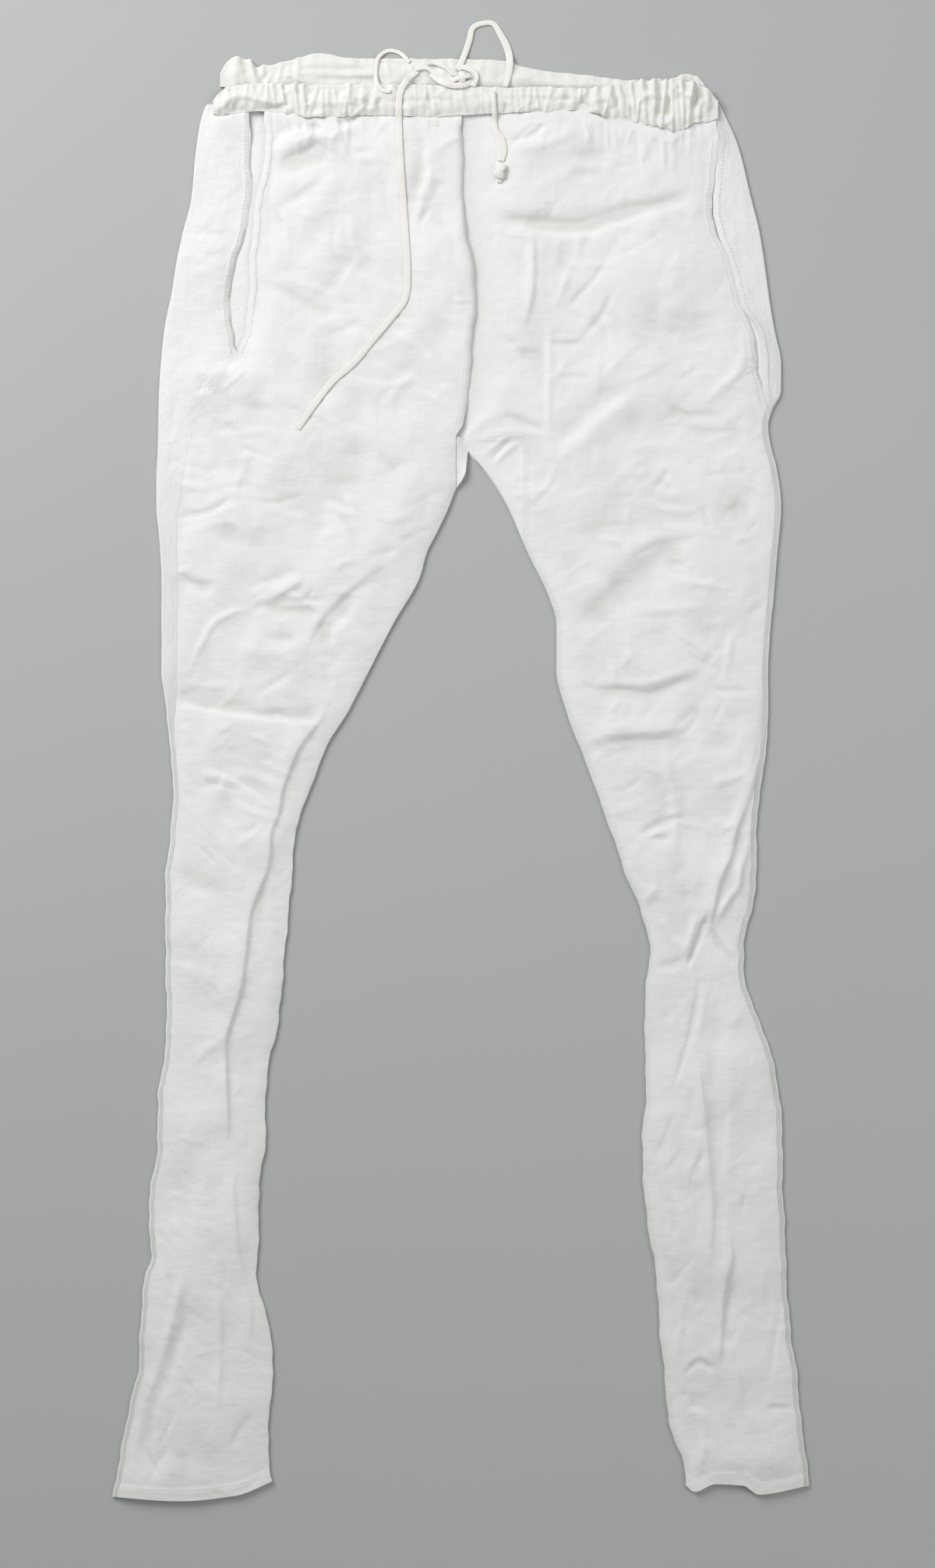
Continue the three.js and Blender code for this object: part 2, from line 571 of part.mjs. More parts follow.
// A casing: a flattened tunnel. Its upper side and waist edge rise and fall with the gathers.
function casing(piece, gathers, base, thick) {
  const ring = (inset) => (i) => {
    const place = THREE.MathUtils.clamp((i + 0.3 * Math.sin(1.9 * i)) / (2 * gathers), 0, 1);
    const x = THREE.MathUtils.lerp(piece.from, piece.to, i === 2 * gathers ? 1 : place);
    const crest = (i % 2) * (0.7 + 0.3 * Math.sin(2.3 * i)) * piece.gather(x);
    const [foot, top] = [piece.foot(x) - inset, piece.top(x) + inset - 0.5 * crest];
    const [low, high] = [base + inset, base + thick - inset + crest];
    const across = (share) => toY(THREE.MathUtils.lerp(foot, top, share));
    const middle = (low + high) / 2;
    return [
      [x, across(0), middle - 0.2 * (high - low)],
      [x, across(0.07), low],
      [x, across(0.93), low],
      [x, across(1), middle - 0.2 * (high - low)],
      [x, across(1), middle + 0.2 * (high - low)],
      [x, across(0.85), high],
      [x, across(0.15), high - 0.3 * crest],
      [x, across(0), middle + 0.2 * (high - low)],
    ];
  };
  const stations = Array.from({ length: 2 * gathers + 1 }, (_, i) => i);
  return skin(stations.map(ring(0)), stations.map(ring(CLOTH)));
}

// The top of whatever lies highest within reach of a point: what the drawstring rests on.
function coverAt(x, down) {
  const within = (piece) =>
    x > piece.from - 1 && x < piece.to + 1 && down > piece.top(x) - 1.5 && down < piece.foot(x) + 1;
  if ([rightCasing, leftCasing].some(within)) return ON_LAP + FRONT_CASING_THICK + RIPPLE;
  if (within(backCasing)) return BACK_CASING_THICK + 0.8;
  if (down < 0) return 0;
  if (down < FRONT_TOP) return CLOTH;
  const right = x < centreEdge(down) + 1 ? rightUnderside(x, down) : 0;
  return Math.max(right, leftUnderside(x, down)) + CLOTH;
}
function coverNear(x, down, reach) {
  const steps = [-1, -0.5, 0, 0.5, 1];
  return Math.max(...steps.flatMap((a) => steps.map((b) => coverAt(x + a * reach, down + b * reach))));
}

// A stretch of the flat drawstring along its route, lying on what is under it.
function tape(route, step = 7) {
  const share = route.map((row, i) => ({ ...row, share: i / (route.length - 1) }));
  const [wide, thick] = ["wide", "thick"].map((key) => column(share, key, "share"));
  const curve = new THREE.CatmullRomCurve3(route.map((row) => new THREE.Vector3(row.x, toY(row.down), 0)));
  const count = Math.max(4, Math.round(curve.getLength() / step));
  const rings = [];
  for (let i = 0; i <= count; i++) {
    const at = curve.getUtoTmapping(i / count);
    const [centre, along] = [curve.getPoint(at), curve.getTangent(at)];
    const [w, t] = [wide(at) / 2, thick(at) / 2];
    const z = coverNear(centre.x, LENGTH / 2 - centre.y, step) + GAP + t;
    rings.push(
      Array.from({ length: 8 }, (_, k) => {
        const angle = (Math.PI * (2 * k + 1)) / 8;
        const across = w * Math.cos(angle);
        return [centre.x - across * along.y, centre.y + across * along.x, z + t * Math.sin(angle) * 1.08];
      }),
    );
  }
  return skin(rings);
}

function knot(size) {
  const z = coverNear(size.x, size.down, size.width / 3) + GAP + size.height / 2;
  const ball = new THREE.SphereGeometry(0.5, 12, 8).scale(size.width, size.depth, size.height);
  return ball.translate(size.x, toY(size.down), z);
}

const group = new THREE.Group();
function add(name, geometry, material) {
  const mesh = new THREE.Mesh(geometry, material);
  mesh.name = name;
  group.add(mesh);
}
const rightInner = (down) => Math.min(centreEdge(down), down < CROTCH ? Infinity : RIGHT.inner(down));
const leftInner = (down) => Math.max(centreEdge(down) - LAP, down < CROTCH ? -Infinity : LEFT.inner(down));

add("back_right", backPanel(RIGHT), LINEN);
add("back_left", backPanel(LEFT), LINEN);
add("front_right", frontPanel(RIGHT, rightInner, rightUnderside, GUSSET_RIGHT - GAP), LINEN);
add("front_left", frontPanel(LEFT, leftInner, leftUnderside, GUSSET_RIGHT - 20), LINEN);
add("gusset", gussetPanel(), LINEN);
add("casing_back", casing(backCasing, 20, 0, BACK_CASING_THICK), CASING_LINEN);
add("casing_front_right", casing(rightCasing, 20, ON_LAP, FRONT_CASING_THICK), CASING_LINEN);
add("casing_front_left", casing(leftCasing, 20, ON_LAP, FRONT_CASING_THICK), CASING_LINEN);
add("drawstring_knot", joined(knot(BOW_KNOT), tape(TANGLE, 4)), TAPE);
add("drawstring_long_end", tape(LONG_END), TAPE);
add("drawstring_short_end", tape(SHORT_END), TAPE);
add("drawstring_tip_knot", knot(TIP_KNOT), TAPE);
add("drawstring_small_loop", tape(SMALL_LOOP, 4.5), TAPE);
add("drawstring_large_loop", tape(LARGE_LOOP, 6), TAPE);

// The origin is under the centre of the cloth, on the surface.
const cloth = new THREE.Box3();
for (const mesh of group.children) if (!mesh.name.startsWith("drawstring")) cloth.expandByObject(mesh);
const centre = cloth.getCenter(new THREE.Vector3());
for (const mesh of group.children) mesh.geometry.translate(-centre.x, -centre.y, 0);

export default group;
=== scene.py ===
"""Linen drawstring trousers, laid flat with the front up.

Tables give places in millimetres: x across, and down from the highest point of the waist. The
surfaces are worked out as whole numpy arrays and put in the frame in metres.
Right and left are the wearer's: right is at -X. side is -1 right and 1 left.
"""

import math
from functools import partial

import bpy
import numpy as np
from bpy.props import FloatProperty, FloatVectorProperty, IntProperty, PointerProperty
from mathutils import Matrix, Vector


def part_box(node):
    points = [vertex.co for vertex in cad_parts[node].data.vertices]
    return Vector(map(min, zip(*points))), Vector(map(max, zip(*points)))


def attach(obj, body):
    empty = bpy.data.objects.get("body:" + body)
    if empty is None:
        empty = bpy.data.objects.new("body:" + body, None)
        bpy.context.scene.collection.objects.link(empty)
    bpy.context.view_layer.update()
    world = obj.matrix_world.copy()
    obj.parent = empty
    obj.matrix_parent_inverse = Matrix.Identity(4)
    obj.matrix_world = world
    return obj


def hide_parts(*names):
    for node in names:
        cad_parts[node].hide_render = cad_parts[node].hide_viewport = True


bl_info = {
    "name": "Linen Drawstring Trousers",
    "version": (1, 0, 0),
    "blender": (4, 5, 0),
    "location": "3D View > Sidebar > Trousers",
    "description": "Linen trousers laid flat, with creased cloth, gathered casings and a tied tape",
    "category": "Add Mesh",
}

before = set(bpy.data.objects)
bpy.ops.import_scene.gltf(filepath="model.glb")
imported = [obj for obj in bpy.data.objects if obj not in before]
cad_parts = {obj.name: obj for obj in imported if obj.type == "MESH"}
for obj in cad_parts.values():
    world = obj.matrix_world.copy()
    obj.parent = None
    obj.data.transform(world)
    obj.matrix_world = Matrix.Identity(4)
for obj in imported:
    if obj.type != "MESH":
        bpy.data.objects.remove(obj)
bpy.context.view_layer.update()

MM = 0.001
LENGTH = 1114  # waist to hem
GUSSET_TOP, GUSSET_RIGHT, GUSSET_LEFT = 296, -4, 47.5
# The gusset's corner ties the tables' millimetres to the frame.
SHIFT_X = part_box("gusset")[0].x / MM - GUSSET_RIGHT
SHIFT_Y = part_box("gusset")[1].y / MM - (LENGTH / 2 - GUSSET_TOP)

CROTCH = 307  # down, where the legs part
FRONT_TOP = 40  # down, the fronts' upper edge, under the casing
ON_BACK = 1.45  # the underside of what lies flat on a back
CASING_UNDER = 4.3  # the underside of the front casings
LAP = 8  # how far the right front laps over the left
CLOTH = 0.9  # one layer of linen, as it lies
CASING_CLOTH = 0.7
TURN = (ON_BACK + CLOTH) / 2  # the radius of the turn at the sides
CUT = GUSSET_TOP - 0.06  # where the fronts end at the gusset
SLIT_HEM, LEG_HEM = 6, 10  # how wide the turned hems are
LAP_CREST, LAP_FLOOR = 4.5, 2.45  # the lap's rolled edge, and where it would rest on the left front
BELOW_CASING = 3.1  # the highest an underside may be beneath a front casing

# The grids: a front's rows, its columns up to the split and those beyond it, and the row at the
# gusset's top; a back's rows, and its columns on the surface, round the turn and over the front; a
# casing's columns, and its rows beneath, round the edge and over the gathers; the gusset's both ways.
# A front's under face takes every COARSE-th row and column.
FRONT_CELLS, CUT_ROW, COARSE = (600, 112, 32), 176, 4
BACK_ROWS, BACK_COLUMNS = 440, (8, 8, 28)
CASING_COLUMNS, CASING_ROWS = 360, (6, 6, 28)
GUSSET_CELLS = 64


def columns_of(names, rows):
    """Rows of numbers with named columns."""
    return np.array(rows, dtype=[(name, float) for name in names.split()])


def table(names, text):
    """A table from its text: rows parted by commas, and their numbers by spaces."""
    return columns_of(names, [tuple(map(float, row.split())) for row in text.split(",")])


def crease(high, left, right, *places, fade=0.3):
    """A crease through places of x and down. high is a ridge's height or, below 0, a trough's depth;
    left and right are its half widths, looking along it; fade is the share of its length over which
    each end dies away."""
    return {"high": high, "left": left, "right": right, "fade": fade, "places": np.array(places, float)}


def creases_of(text):
    """Creases from lines of text: high, left, right and at times fade, a colon, and the places. A line
    that ends in a comma goes on in the next one."""
    made = []
    for line in text.strip().replace(",\n", ",").splitlines():
        shape, places = line.split(":")
        high, left, right, *fade = map(float, shape.split())
        places = [tuple(map(float, place.split())) for place in places.split(",")]
        made.append(crease(high, left, right, *places, fade=fade[0] if fade else 0.3))
    return made


# Each leg's outline: x of the side, and of the seat seam or inseam.
RIGHT_OUTLINE = table("down outer inner", """
20 -183 4.5, 49 -200 4.5, 80 -205 4.5, 112 -208 4.5, 140 -215 4.5, 164 -220 4.5, 184 -223 4.5,
208 -228 4.5, 233 -231 4.5, 262 -233 4.5, 307 -234 4.5, 328 -235 0, 337 -235 -5, 350 -235 -10,
371 -233 -20, 385 -232 -27, 403 -231 -32, 440 -231 -53, 475 -231 -71, 508 -227 -88,
530 -225 -102, 565 -222 -116, 601 -224 -128, 637 -228 -131, 691 -228 -136, 745 -227 -141,
781 -230 -149, 805 -234 -151, 840 -234 -151, 871 -239 -156, 890 -241 -156, 925 -239 -157,
943 -244 -158, 975 -247 -149, 1015 -249 -145, 1034 -254 -147, 1069 -261 -149, 1114 -269 -144
""")
LEFT_OUTLINE = table("down outer inner", """
20 188 4.5, 49 203 4.5, 72 213 4.5, 112 223 4.5, 136 229 4.5, 160 233 4.5, 190 237 4.5,
214 241 4.5, 240 246 4.5, 260 246 4.5, 275 239 4.5, 287 236 4.5, 307 239 4.5, 317 242 14,
349 246 35, 385 243 51, 421 240 68, 440 238 73, 475 236 73, 511 236 82, 547 233 96,
583 228 109, 605 227 117, 637 227 128, 655 224 136, 691 217 145, 704 217 144, 727 222 141,
763 236 141, 799 244 142, 835 247 139, 871 247 140, 907 249 144, 943 250 150, 990 254 153,
1015 258 156, 1051 261 159, 1087 266 171, 1114 268 174
""")
# How far each back turns over on to the front, and the slit between its edge and the front's.
RIGHT_FLANK = table("down wrap slit", """
40 46 12, 80 54 11, 112 50 4, 140 54 6, 164 57 11, 184 60 15, 208 62 11, 236 56 0.3,
262 42 0.3, 295 26 0.3, 340 19 0.3, 384 13 0.3, 475 12 0.3, 530 4 0.3, 1114 4 0.3
""")
LEFT_FLANK = table("down wrap slit", """
40 5 0.5, 72 16 1, 136 34 2, 160 27 1, 190 24 1, 214 17 3, 240 18 3.5, 262 14 1, 275 5 0.3,
1114 4 0.3
""")
# The hems, from the side (share 0) to the inseam (share 1).
RIGHT_HEM = table("share down", "0 1111, 0.4 1114, 0.75 1110, 1 1099")
LEFT_HEM = table("share down", "0 1103, 0.38 1109, 0.52 1102, 0.75 1101, 0.93 1107, 1 1102")
CENTRE_EDGE = table("down x", "40 -4, 80 -1, 112 -1, 140 2, 164 7, 190 9, 211 7, 247 4, 296 0, 330 -2")
GUSSET_FOOT = table("x down", """
-4 335, 0 329.5, 3.6 321, 4.5 307, 9 311, 14 317, 24 329, 35 348, 47.5 377
""")
# The casings: upper edge, foot and the depth of the gathers.
BACK_CASING = table("x top foot gather", """
-186 13 29 1.4, -182 7 28 2, -175 3.6 27 2.2, -164 5 27 2.4, -158 10.5 27 2.2, -152 9.5 27 2,
-137 7 27 1.2, -118 1.7 27 0.7, -110 0.3 27 0.5, -84 4.2 27 0.4, -40 4.5 28 0.8, 7 5 28 0.8,
36 6 28 0.8, 43 9.5 29 0.5, 61 13.5 31 0.5, 94 17 34 0.5, 132 21 37 1.2, 164 20 39 1.8,
173 16 39 2.2, 181 18 39 2, 190 27 39 1.6
""")
RIGHT_CASING = table("x top foot gather", """
-191 35 50 1, -178 26.5 48 1.1, -157 24 46 1, -137 24.5 47 1.5, -115 25 51 2.2,
-67 24.5 49 0.9, -28 25.5 50 0.8, -3.1 26 49 0.3
""")
LEFT_CASING = table("x top foot gather", """
-3.04 26 49 0.3, 39 27.5 47 0.9, 65 27 46 1, 91 28 45 1.5, 119 26 53 1.9, 140 22 55 2.4,
163 21 61 2.4, 184 25 54 2.2, 197 35 54 1.4
""")
# The main creases, down the right leg and then the left.
CREASES = creases_of("""
3.3 5 12: -151 74, -132 68, -108 61, -83 53
-2.6 6 10: -148 88, -132 84, -115 76, -98 66
-2 2.6 3.4: -119 57, -106 59, -93 56
-2.2 2.4 3.4: -97 54, -89 54, -80 50
-1.1 8 6: -152 60, -128 64, -104 60, -88 58
-0.7 3 5: -154 122, -132 114, -109 99, -98 93
0.7 7 7: -132 139, -114 120, -92 98
-0.8 8 12: -60 70, -58 88, -62 104, -67 126
-0.9 2.4 3.5: -195 119, -180 112, -164 107
-0.7 2.6 4: -211 136, -194 140, -176 142
-0.6 2.4 3: -200 159, -186 157, -174 156
-1 2.4 5: -207 204, -191 198, -179 193, -170 186
-0.7 2.4 3: -218 208, -216 219, -215 230
-0.6 2 2.4: -205 264, -199 256, -194 249
-0.6 2 2.4: -204 249, -198 256, -191 264
-0.7 2 3: -209 276, -200 274, -194 284
-0.9 4.5 6: -154 176, -132 186, -109 198, -85 208
-0.4 4 5: -109 159, -84 162, -58 164
-0.6 2.6 4: -106 218, -87 211, -74 205
1.2 3 6: -58 214, -41 222, -16 243, -4 257
0.8 3 4: -57 273, -50 260, -33 244
-1 2 2.2: -33 137, -28 123, -22 118
1.2 6 4: -17 84, -29 110, -34 138
-1 4.5 5: -30 64, -31 88, -36 112
-0.9 4.5 5: -218 258, -221 277, -227 299
0.9 6 6: -212 305, -210 322, -208 341
0.8 10 8: -158 259, -122 271, -80 268
-0.8 9 10: -98 295, -68 313, -32 319
-0.9 9 10: -194 309, -176 316, -156 324
-1.1 2 3.4: -219 357, -192 352, -176 342
-1.1 9 9: -200 358, -176 373, -140 379
2 8 2.5: -155 425, -138 415, -120 404
-1.5 3 6: -154 428, -134 428, -108 431
-0.8 1.8 2.2: -150 424, -128 422, -102 420
-1.4 3 6: -219 401, -205 408, -187 411
-1.4 8 2.6: -52 391, -73 407, -94 425, -110 445, -117 464
-1.2 5 6: -82 424, -98 440, -109 462
0.9 6 8: -176 458, -146 462, -116 455
-2.1 12 2.4 0.13: -224 497, -194 503, -165 508, -134 511.5, -106 513
1.1 2.4 2.6 0.25: -160 428, -178 432, -190 439, -202 459, -208 470
1.5 3 14: -200 551, -180 560, -165 568, -143 584
2 2.1 14 0.07: -106 508, -116 522, -125 534, -133 552, -139 569, -141 584, -147 599, -148 618,
    -150 628, -156 643, -163 662, -166 689, -170 718, -175 736, -182 758, -182 775, -181 800, -180 832
0.8 3 5: -181 757, -194 766, -207 778
-0.8 7 7: -220 625, -202 640, -176 649
0.8 7 7: -222 697, -206 709, -182 712
0.6 7 6: -208 811, -198 847, -201 895
-0.6 6 5: -219 859, -212 895, -214 931
1.1 2 8 0.15: -176 860, -174 903, -170 935, -164 953, -162 974, -166 1000
0.9 2.4 5: -188 940, -186 973, -186 1002, -188 1064
1.4 3.4 5 0.2: -215 936, -224 982, -234 1012, -246 1046, -254 1092
-0.8 4.5 4 0.2: -207 940, -215 984, -226 1014, -238 1048, -245 1090
-0.9 2.4 2.6: -145 1080, -156 1096, -174 1111
0.6 6 6: -176 1015, -182 1051, -185 1087
-0.7 5 5: -212 1069, -214 1087, -213 1108
-0.6 3 3: -160 1048, -170 1058, -176 1074
-1.2 2.8 3: 34 68, 50 66, 59 60, 69 51
1 5 5: 36 74, 62 72, 90 58
-1.1 7 6: 84 72, 100 78, 116 80
-0.6 3 3: 80 92, 96 93, 112 92
1.4 2.4 3: 137 53, 149 62, 157 67, 164 66, 167 58
0.9 11 8: 26 115, 70 120, 110 115, 152 105
-2.8 5.4 4.6 0.22: 18 128, 45 130, 60 132, 76 134, 95 134, 110 129, 122 125, 136 121, 148 119, 160 115,
    171 111, 184 106
0.7 3 5: 60 144, 78 144, 97 143, 121 146
1.2 2 5: 55 135, 55 161, 54.5 183, 50 204, 47 216
0.7 3 2.6: 67.4 200, 67.4 230, 67 262, 67.6 304
-0.9 2 3: 66 222, 80 224, 93 223
-0.9 2 2.2: 90 223, 102 209, 110 197, 118 181
-0.8 2 2.2: 80 197, 95 182, 105 170, 113 160
-1.2 4 5: 18 208, 36 221, 50 232, 66 234
-0.6 2 2.2: 71 251, 85 249, 103 251
-1.1 6 10: 135 254, 108 268, 86 284, 73 300
1.4 10 5: 146 258, 119 276, 95 294, 81 307, 71 320
0.7 3 4: 3 299, 29 294, 52 292, 67 295
-0.9 3 4: 30 278, 50 285, 66 291
0.4 2 2 0.1: 48 299, 48 330, 48 374
0.6 1.9 1.9: 15 312, 25 303, 36 295
-0.7 1.9 1.9: 20 316, 30 306, 40 296
0.6 2.2 2.2: 24 319, 34 308, 45 299
0.8 11 10: 112 163, 142 187, 184 199
-0.7 9 10: 104 206, 130 222, 166 229
1.1 4 3: 215 207, 218 227, 216 239, 210 249, 196 261, 181 274
-1.3 2 2.2: 227 209, 228 239, 229 254
1.1 2 2: 221.5 200, 223.5 222, 223 246
-1.2 2 2.2: 224 252, 229 263, 236 283
-0.9 2.4 4: 156 274, 174 279, 188 278, 203 280
-0.8 3 5: 168 286, 188 292, 202 292, 224 288
-1 2 2.2: 160 319, 155 328, 147 337
-1.1 10 10: 196 345, 210 351, 226 354
-0.7 2 2.4: 185 347, 189 361, 191 369
1.7 10 20: 155 369, 127 385, 115 397, 107 409, 90 431
0.9 8 2.6: 122 392, 136 381, 155 373, 182 369, 192 366
-1.7 17 10: 183 369, 162 377, 151 391, 136 402, 124 412, 110 423, 99 434, 88 457
-0.7 2 2.4: 156 391, 168 394, 177 389
0.8 5 3: 128 431, 160 429, 192 428
0.7 3 3: 207 443, 205 467, 200 489
0.8 3 3: 108 484, 141 485, 165 478, 184 473
-1.6 3 6: 92 484, 110 490, 127 491, 143 493, 155 490, 165 485, 179 481, 191 479
-0.9 2.2 3: 190 488, 207 491, 221 488
1.6 12 2.8: 90 532, 108 526, 127 523, 151 522, 165 520, 182 519
-1.1 3 14: 100 536, 127 530, 155 529, 182 526
-0.9 8 8: 185 527, 198 530, 214 531
1.1 4 5: 153 527, 158 548, 164 583, 163 630
-0.9 2 2.4: 231 484, 232 510, 228 537, 221 566
-1.6 2.4 3: 134 604, 148 595, 163 589, 174 589
0.9 3 3: 136 608, 150 601, 166 595
1.1 4 3: 190 565, 208 559, 221 555
-0.9 9 9: 166 606, 172 640, 171 662
1.2 3 4: 137 657, 146 646, 153 641
-0.9 3 3: 139 663, 147 655, 154 650
2.3 1.9 7 0.12: 229 535, 225 552, 223 562, 219 577, 213 592, 209 605, 206 619, 200 632, 196 644,
    194 655, 190 672
2 2.6 3.6 0.12: 232 541, 227 559, 225 581, 223 600, 219 615, 215 627, 213 641, 207 649, 195 668
-2.6 2 2 0.2: 189 664, 183 680, 177 694, 174 704
1.2 3 3: 181 662, 176 680, 169 697
-1.6 2.4 2.6: 192 672, 198 686, 203 692, 209 699, 215 709
-0.8 2 2.4: 217 676, 214 686, 213 696
1.1 4 4: 150 661, 160 679, 170 692
-1.1 4 4: 148 703, 162 701, 172 697
-1.1 2 2.4: 184 706, 179 739, 175 757, 168 780, 161 804
0.9 3 4: 190 712, 184 745, 179 768
0.7 4 4: 202 750, 215 740, 224 725
-1.3 7 7: 198 722, 195 760, 194 800, 195 845, 197 890
0.7 8 2.6: 206 780, 206 822, 204 850, 201 880
1.1 2.2 8 0.12: 181 775, 186 814, 189 845, 192 880, 192 903, 191 925, 195 934
0.7 10 4: 149 840, 160 869, 169 894, 176 911, 184 934, 194 960
-0.7 4 6: 142 848, 152 875, 161 900, 168 917, 177 940
-0.7 2.4 2.6: 152 915, 158 930, 164 960, 159 974
0.5 6 5: 231 846, 229 880, 229 912
-0.5 7 7: 222 829, 232 871, 226 919
-0.6 1.8 2: 218 878, 217 884, 216 892
1.5 2.4 8 0.14: 203 905, 207 925, 203 943, 200 963, 199 980, 197 1012
-0.8 6 3: 209 930, 207 955, 204 980, 203 1002
0.9 2.4 5 0.15: 200 986, 207 1000, 212 1018, 214 1029, 216 1043
-0.9 2.4 3: 250 934, 247 956, 244 976, 240 994, 237 1026
-1 2.2 2.2: 171 1018, 178 1009, 183 1007, 189 1010, 197 1012
0.6 3 2: 173 1011, 183 1002, 193 1006
-0.9 3 3: 156 1050, 164 1036, 175 1029
1.2 3 7 0.2: 168 1052, 177 1046, 184 1047, 186 1060, 186 1077, 177 1101
0.9 3 4: 189 1066, 197 1088, 202 1104
-0.7 3 3: 210 1087, 216 1096, 222 1105
-1.1 1.8 2: 233 1042, 247 1042, 261 1041
""")
# The drawstring's stretches: the places they pass, and the tape's width and thickness there.
LONG_END = table("x down wide thick", """
-34 15 4 1.3, -40 20 4.4 1.1, -45 27 4.8 0.9, -48 36 5 0.8, -48 62 5 0.8, -46 98 5 0.8,
-43 140 5 0.8, -41.5 170 5 0.8, -43.5 190 5 0.8, -52 202 5 0.8, -67 220 5 0.8, -82 238 5 0.8,
-100 254 5 0.8, -115 274 5 0.8, -126 290 4.6 0.8
""")
SHORT_END = table("x down wide thick", """
24 31 3.7 1.3, 25 45 3.7 1.3, 26 60 4.5 1, 30 68 7 0.7, 31 77 7.4 0.7, 30 84 5.5 1.1
""")
SMALL_LOOP = table("x down wide thick", """
-40 7.5 3 0.9, -48 0 3 0.9, -57 -1.5 3 0.9, -64 4 3 0.9, -66 15 3 0.9, -65 25 3 0.9,
-60 30.5 3 0.9, -54.5 31 3 0.9
""")
LARGE_LOOP = table("x down wide thick", """
-3 14.5 4.4 0.9, 1.5 3.5 4.6 0.9, 6 -10 4.6 0.9, 8.5 -19 4.2 0.9, 15 -22.5 3.8 0.9,
24 -22.5 3.8 0.9, 30 -14 5 0.9, 35 -4 5.6 0.9, 37 6 5.4 0.9, 36 19 4.4 0.9, 33.5 27 3.6 1
""")
# Strands beside the bow's knot, and the tail of the knot on the short end.
TANGLE = table("x down wide thick", """
-36 13.5 3.4 1.6, -27 12.5 3.6 1.6, -20 17 4.2 1.7, -13 21 4.4 1.7, -5 22 4.4 1.7
""")
TANGLE_UPPER = table("x down wide thick", """
-30 10.5 2.8 1.4, -22 8.5 3 1.4, -13 12 3.4 1.5, -6 17 3.6 1.5, 2 20 3.6 1.5
""")
TANGLE_LOWER = table("x down wide thick", """
-24 17 4.2 1.5, -15 24 4.6 1.5, -4 26.5 4.8 1.5, 7 24 4.4 1.5, 12 18 4 1.4
""")
TANGLE_RIGHT = table("x down wide thick", "-5 12 3.8 1.5, 4 12.5 4.4 1.5, 11 18 4.4 1.5, 9 27 4 1.4")
TIP_TAIL = table("x down wide thick", "29.5 93 4.4 1.5, 29 97 4.6 1.4, 28.5 100.5 5 1.3")
KNOT_TAPE = 1.3  # the tape's thickness where it is pulled tight
# The knots: the middle's x and down; the place they stand on and the lift over it; half sizes; the
# turns, as tilt, yaw, scale, width, start and end; and the strands beside them with their sway.
KNOTS = (
    ("Bow_knot", "drawstring_knot", 0.5, 20.4, (0, 21.4, 3.4), (8.4, 4.6, 3.1), (
        (0.15, 0.1, 1, 4.2, 0, 1), (-0.35, -0.2, 0.94, 4, 0.05, 1.02),
        (0.6, 0.35, 0.86, 3.8, 0.02, 0.9), (1.25, 0.1, 1.02, 3.6, 0.1, 0.62),
    ), ((TANGLE, 0.5), (TANGLE_UPPER, 0.6), (TANGLE_LOWER, 0.5), (TANGLE_RIGHT, 0.4))),
    ("Tip_knot", "drawstring_tip_knot", 29.5, 92, (29.5, 93.5, 2.9), (4.8, 6.2, 2.4), (
        (0.2, 0.25, 0.92, 5.4, 0, 1), (-0.45, -0.2, 0.86, 5, 0, 1), (1.15, 0.4, 1, 4.6, 0, 0.9),
    ), ((TIP_TAIL, 0),)),
)


def cubic(t, step, start, leaving, end, arriving):
    """The cubic from start to end, a share t of the way over a step, with its slopes at both."""
    first = start * (1 + 2 * t) * (1 - t) ** 2 + leaving * step * t * (1 - t) ** 2
    return first + end * t * t * (3 - 2 * t) + arriving * step * t * t * (t - 1)


def smooth(rows, column, at):
    """A column of a table at places of its first column: a cubic between neighbouring rows whose
    slopes are harmonic means, flat past the ends."""
    x, y = rows[rows.dtype.names[0]], rows[column]
    rise = np.diff(y) / np.diff(x)
    before, after = np.r_[rise[:1], rise], np.r_[rise, rise[-1:]]
    same = before * after > 0
    slope = np.where(same, 2 * before * after / np.where(same, before + after, 1), 0)
    at = np.clip(at, x[0], x[-1])
    k = np.clip(np.searchsorted(x, at, "right") - 1, 0, len(x) - 2)
    step = x[k + 1] - x[k]
    return cubic((at - x[k]) / step, step, y[k], slope[k], y[k + 1], slope[k + 1])


def ramp(value, low, high):
    """0 up to low, 1 from high, and a soft S between them."""
    t = np.clip((value - low) / (high - low), 0, 1)
    return t * t * (3 - 2 * t)


def as_arrays(x, down):
    """Places across and down as number arrays of one shape."""
    return np.broadcast_arrays(np.asarray(x, float), np.asarray(down, float))


def bell(off, wide):
    """1 in the middle, falling off as a normal curve does: 1/e at its half width."""
    return np.exp(-((off / wide) ** 2))


def ripple(x, down, wave, seed):
    """Uneven ground about one unit high: a sum of sines of about one wavelength, in all directions."""
    rng = np.random.default_rng(seed)
    total = np.zeros(np.broadcast(x, down).shape)
    for angle, phase, scale in rng.uniform((0, 0, 0.7), (math.pi, 2 * math.pi, 1.5), (14, 3)):
        along = x * math.cos(angle) + down * math.sin(angle)
        total += np.sin(2 * math.pi * along / (wave * scale) + phase)
    return total / 3


def through(places, count):
    """Evenly spaced places on a curve through places: cubics whose slopes are those of the chord past
    each place. The first two columns are x and down, and any others follow them."""
    p = np.asarray(places, float)
    gap = np.hypot(*np.diff(p[:, :2], axis=0).T)
    t = np.r_[0, np.cumsum(gap)]
    middle = (p[2:] - p[:-2]) / (t[2:] - t[:-2])[:, None]
    slope = np.concatenate([[(p[1] - p[0]) / gap[0]], middle, [(p[-1] - p[-2]) / gap[-1]]])
    at = np.linspace(0, t[-1], count)
    k = np.clip(np.searchsorted(t, at, "right") - 1, 0, len(t) - 2)
    share, step = ((at - t[k]) / gap[k])[:, None], gap[k][:, None]
    return cubic(share, step, p[k], slope[k], p[k + 1], slope[k + 1])


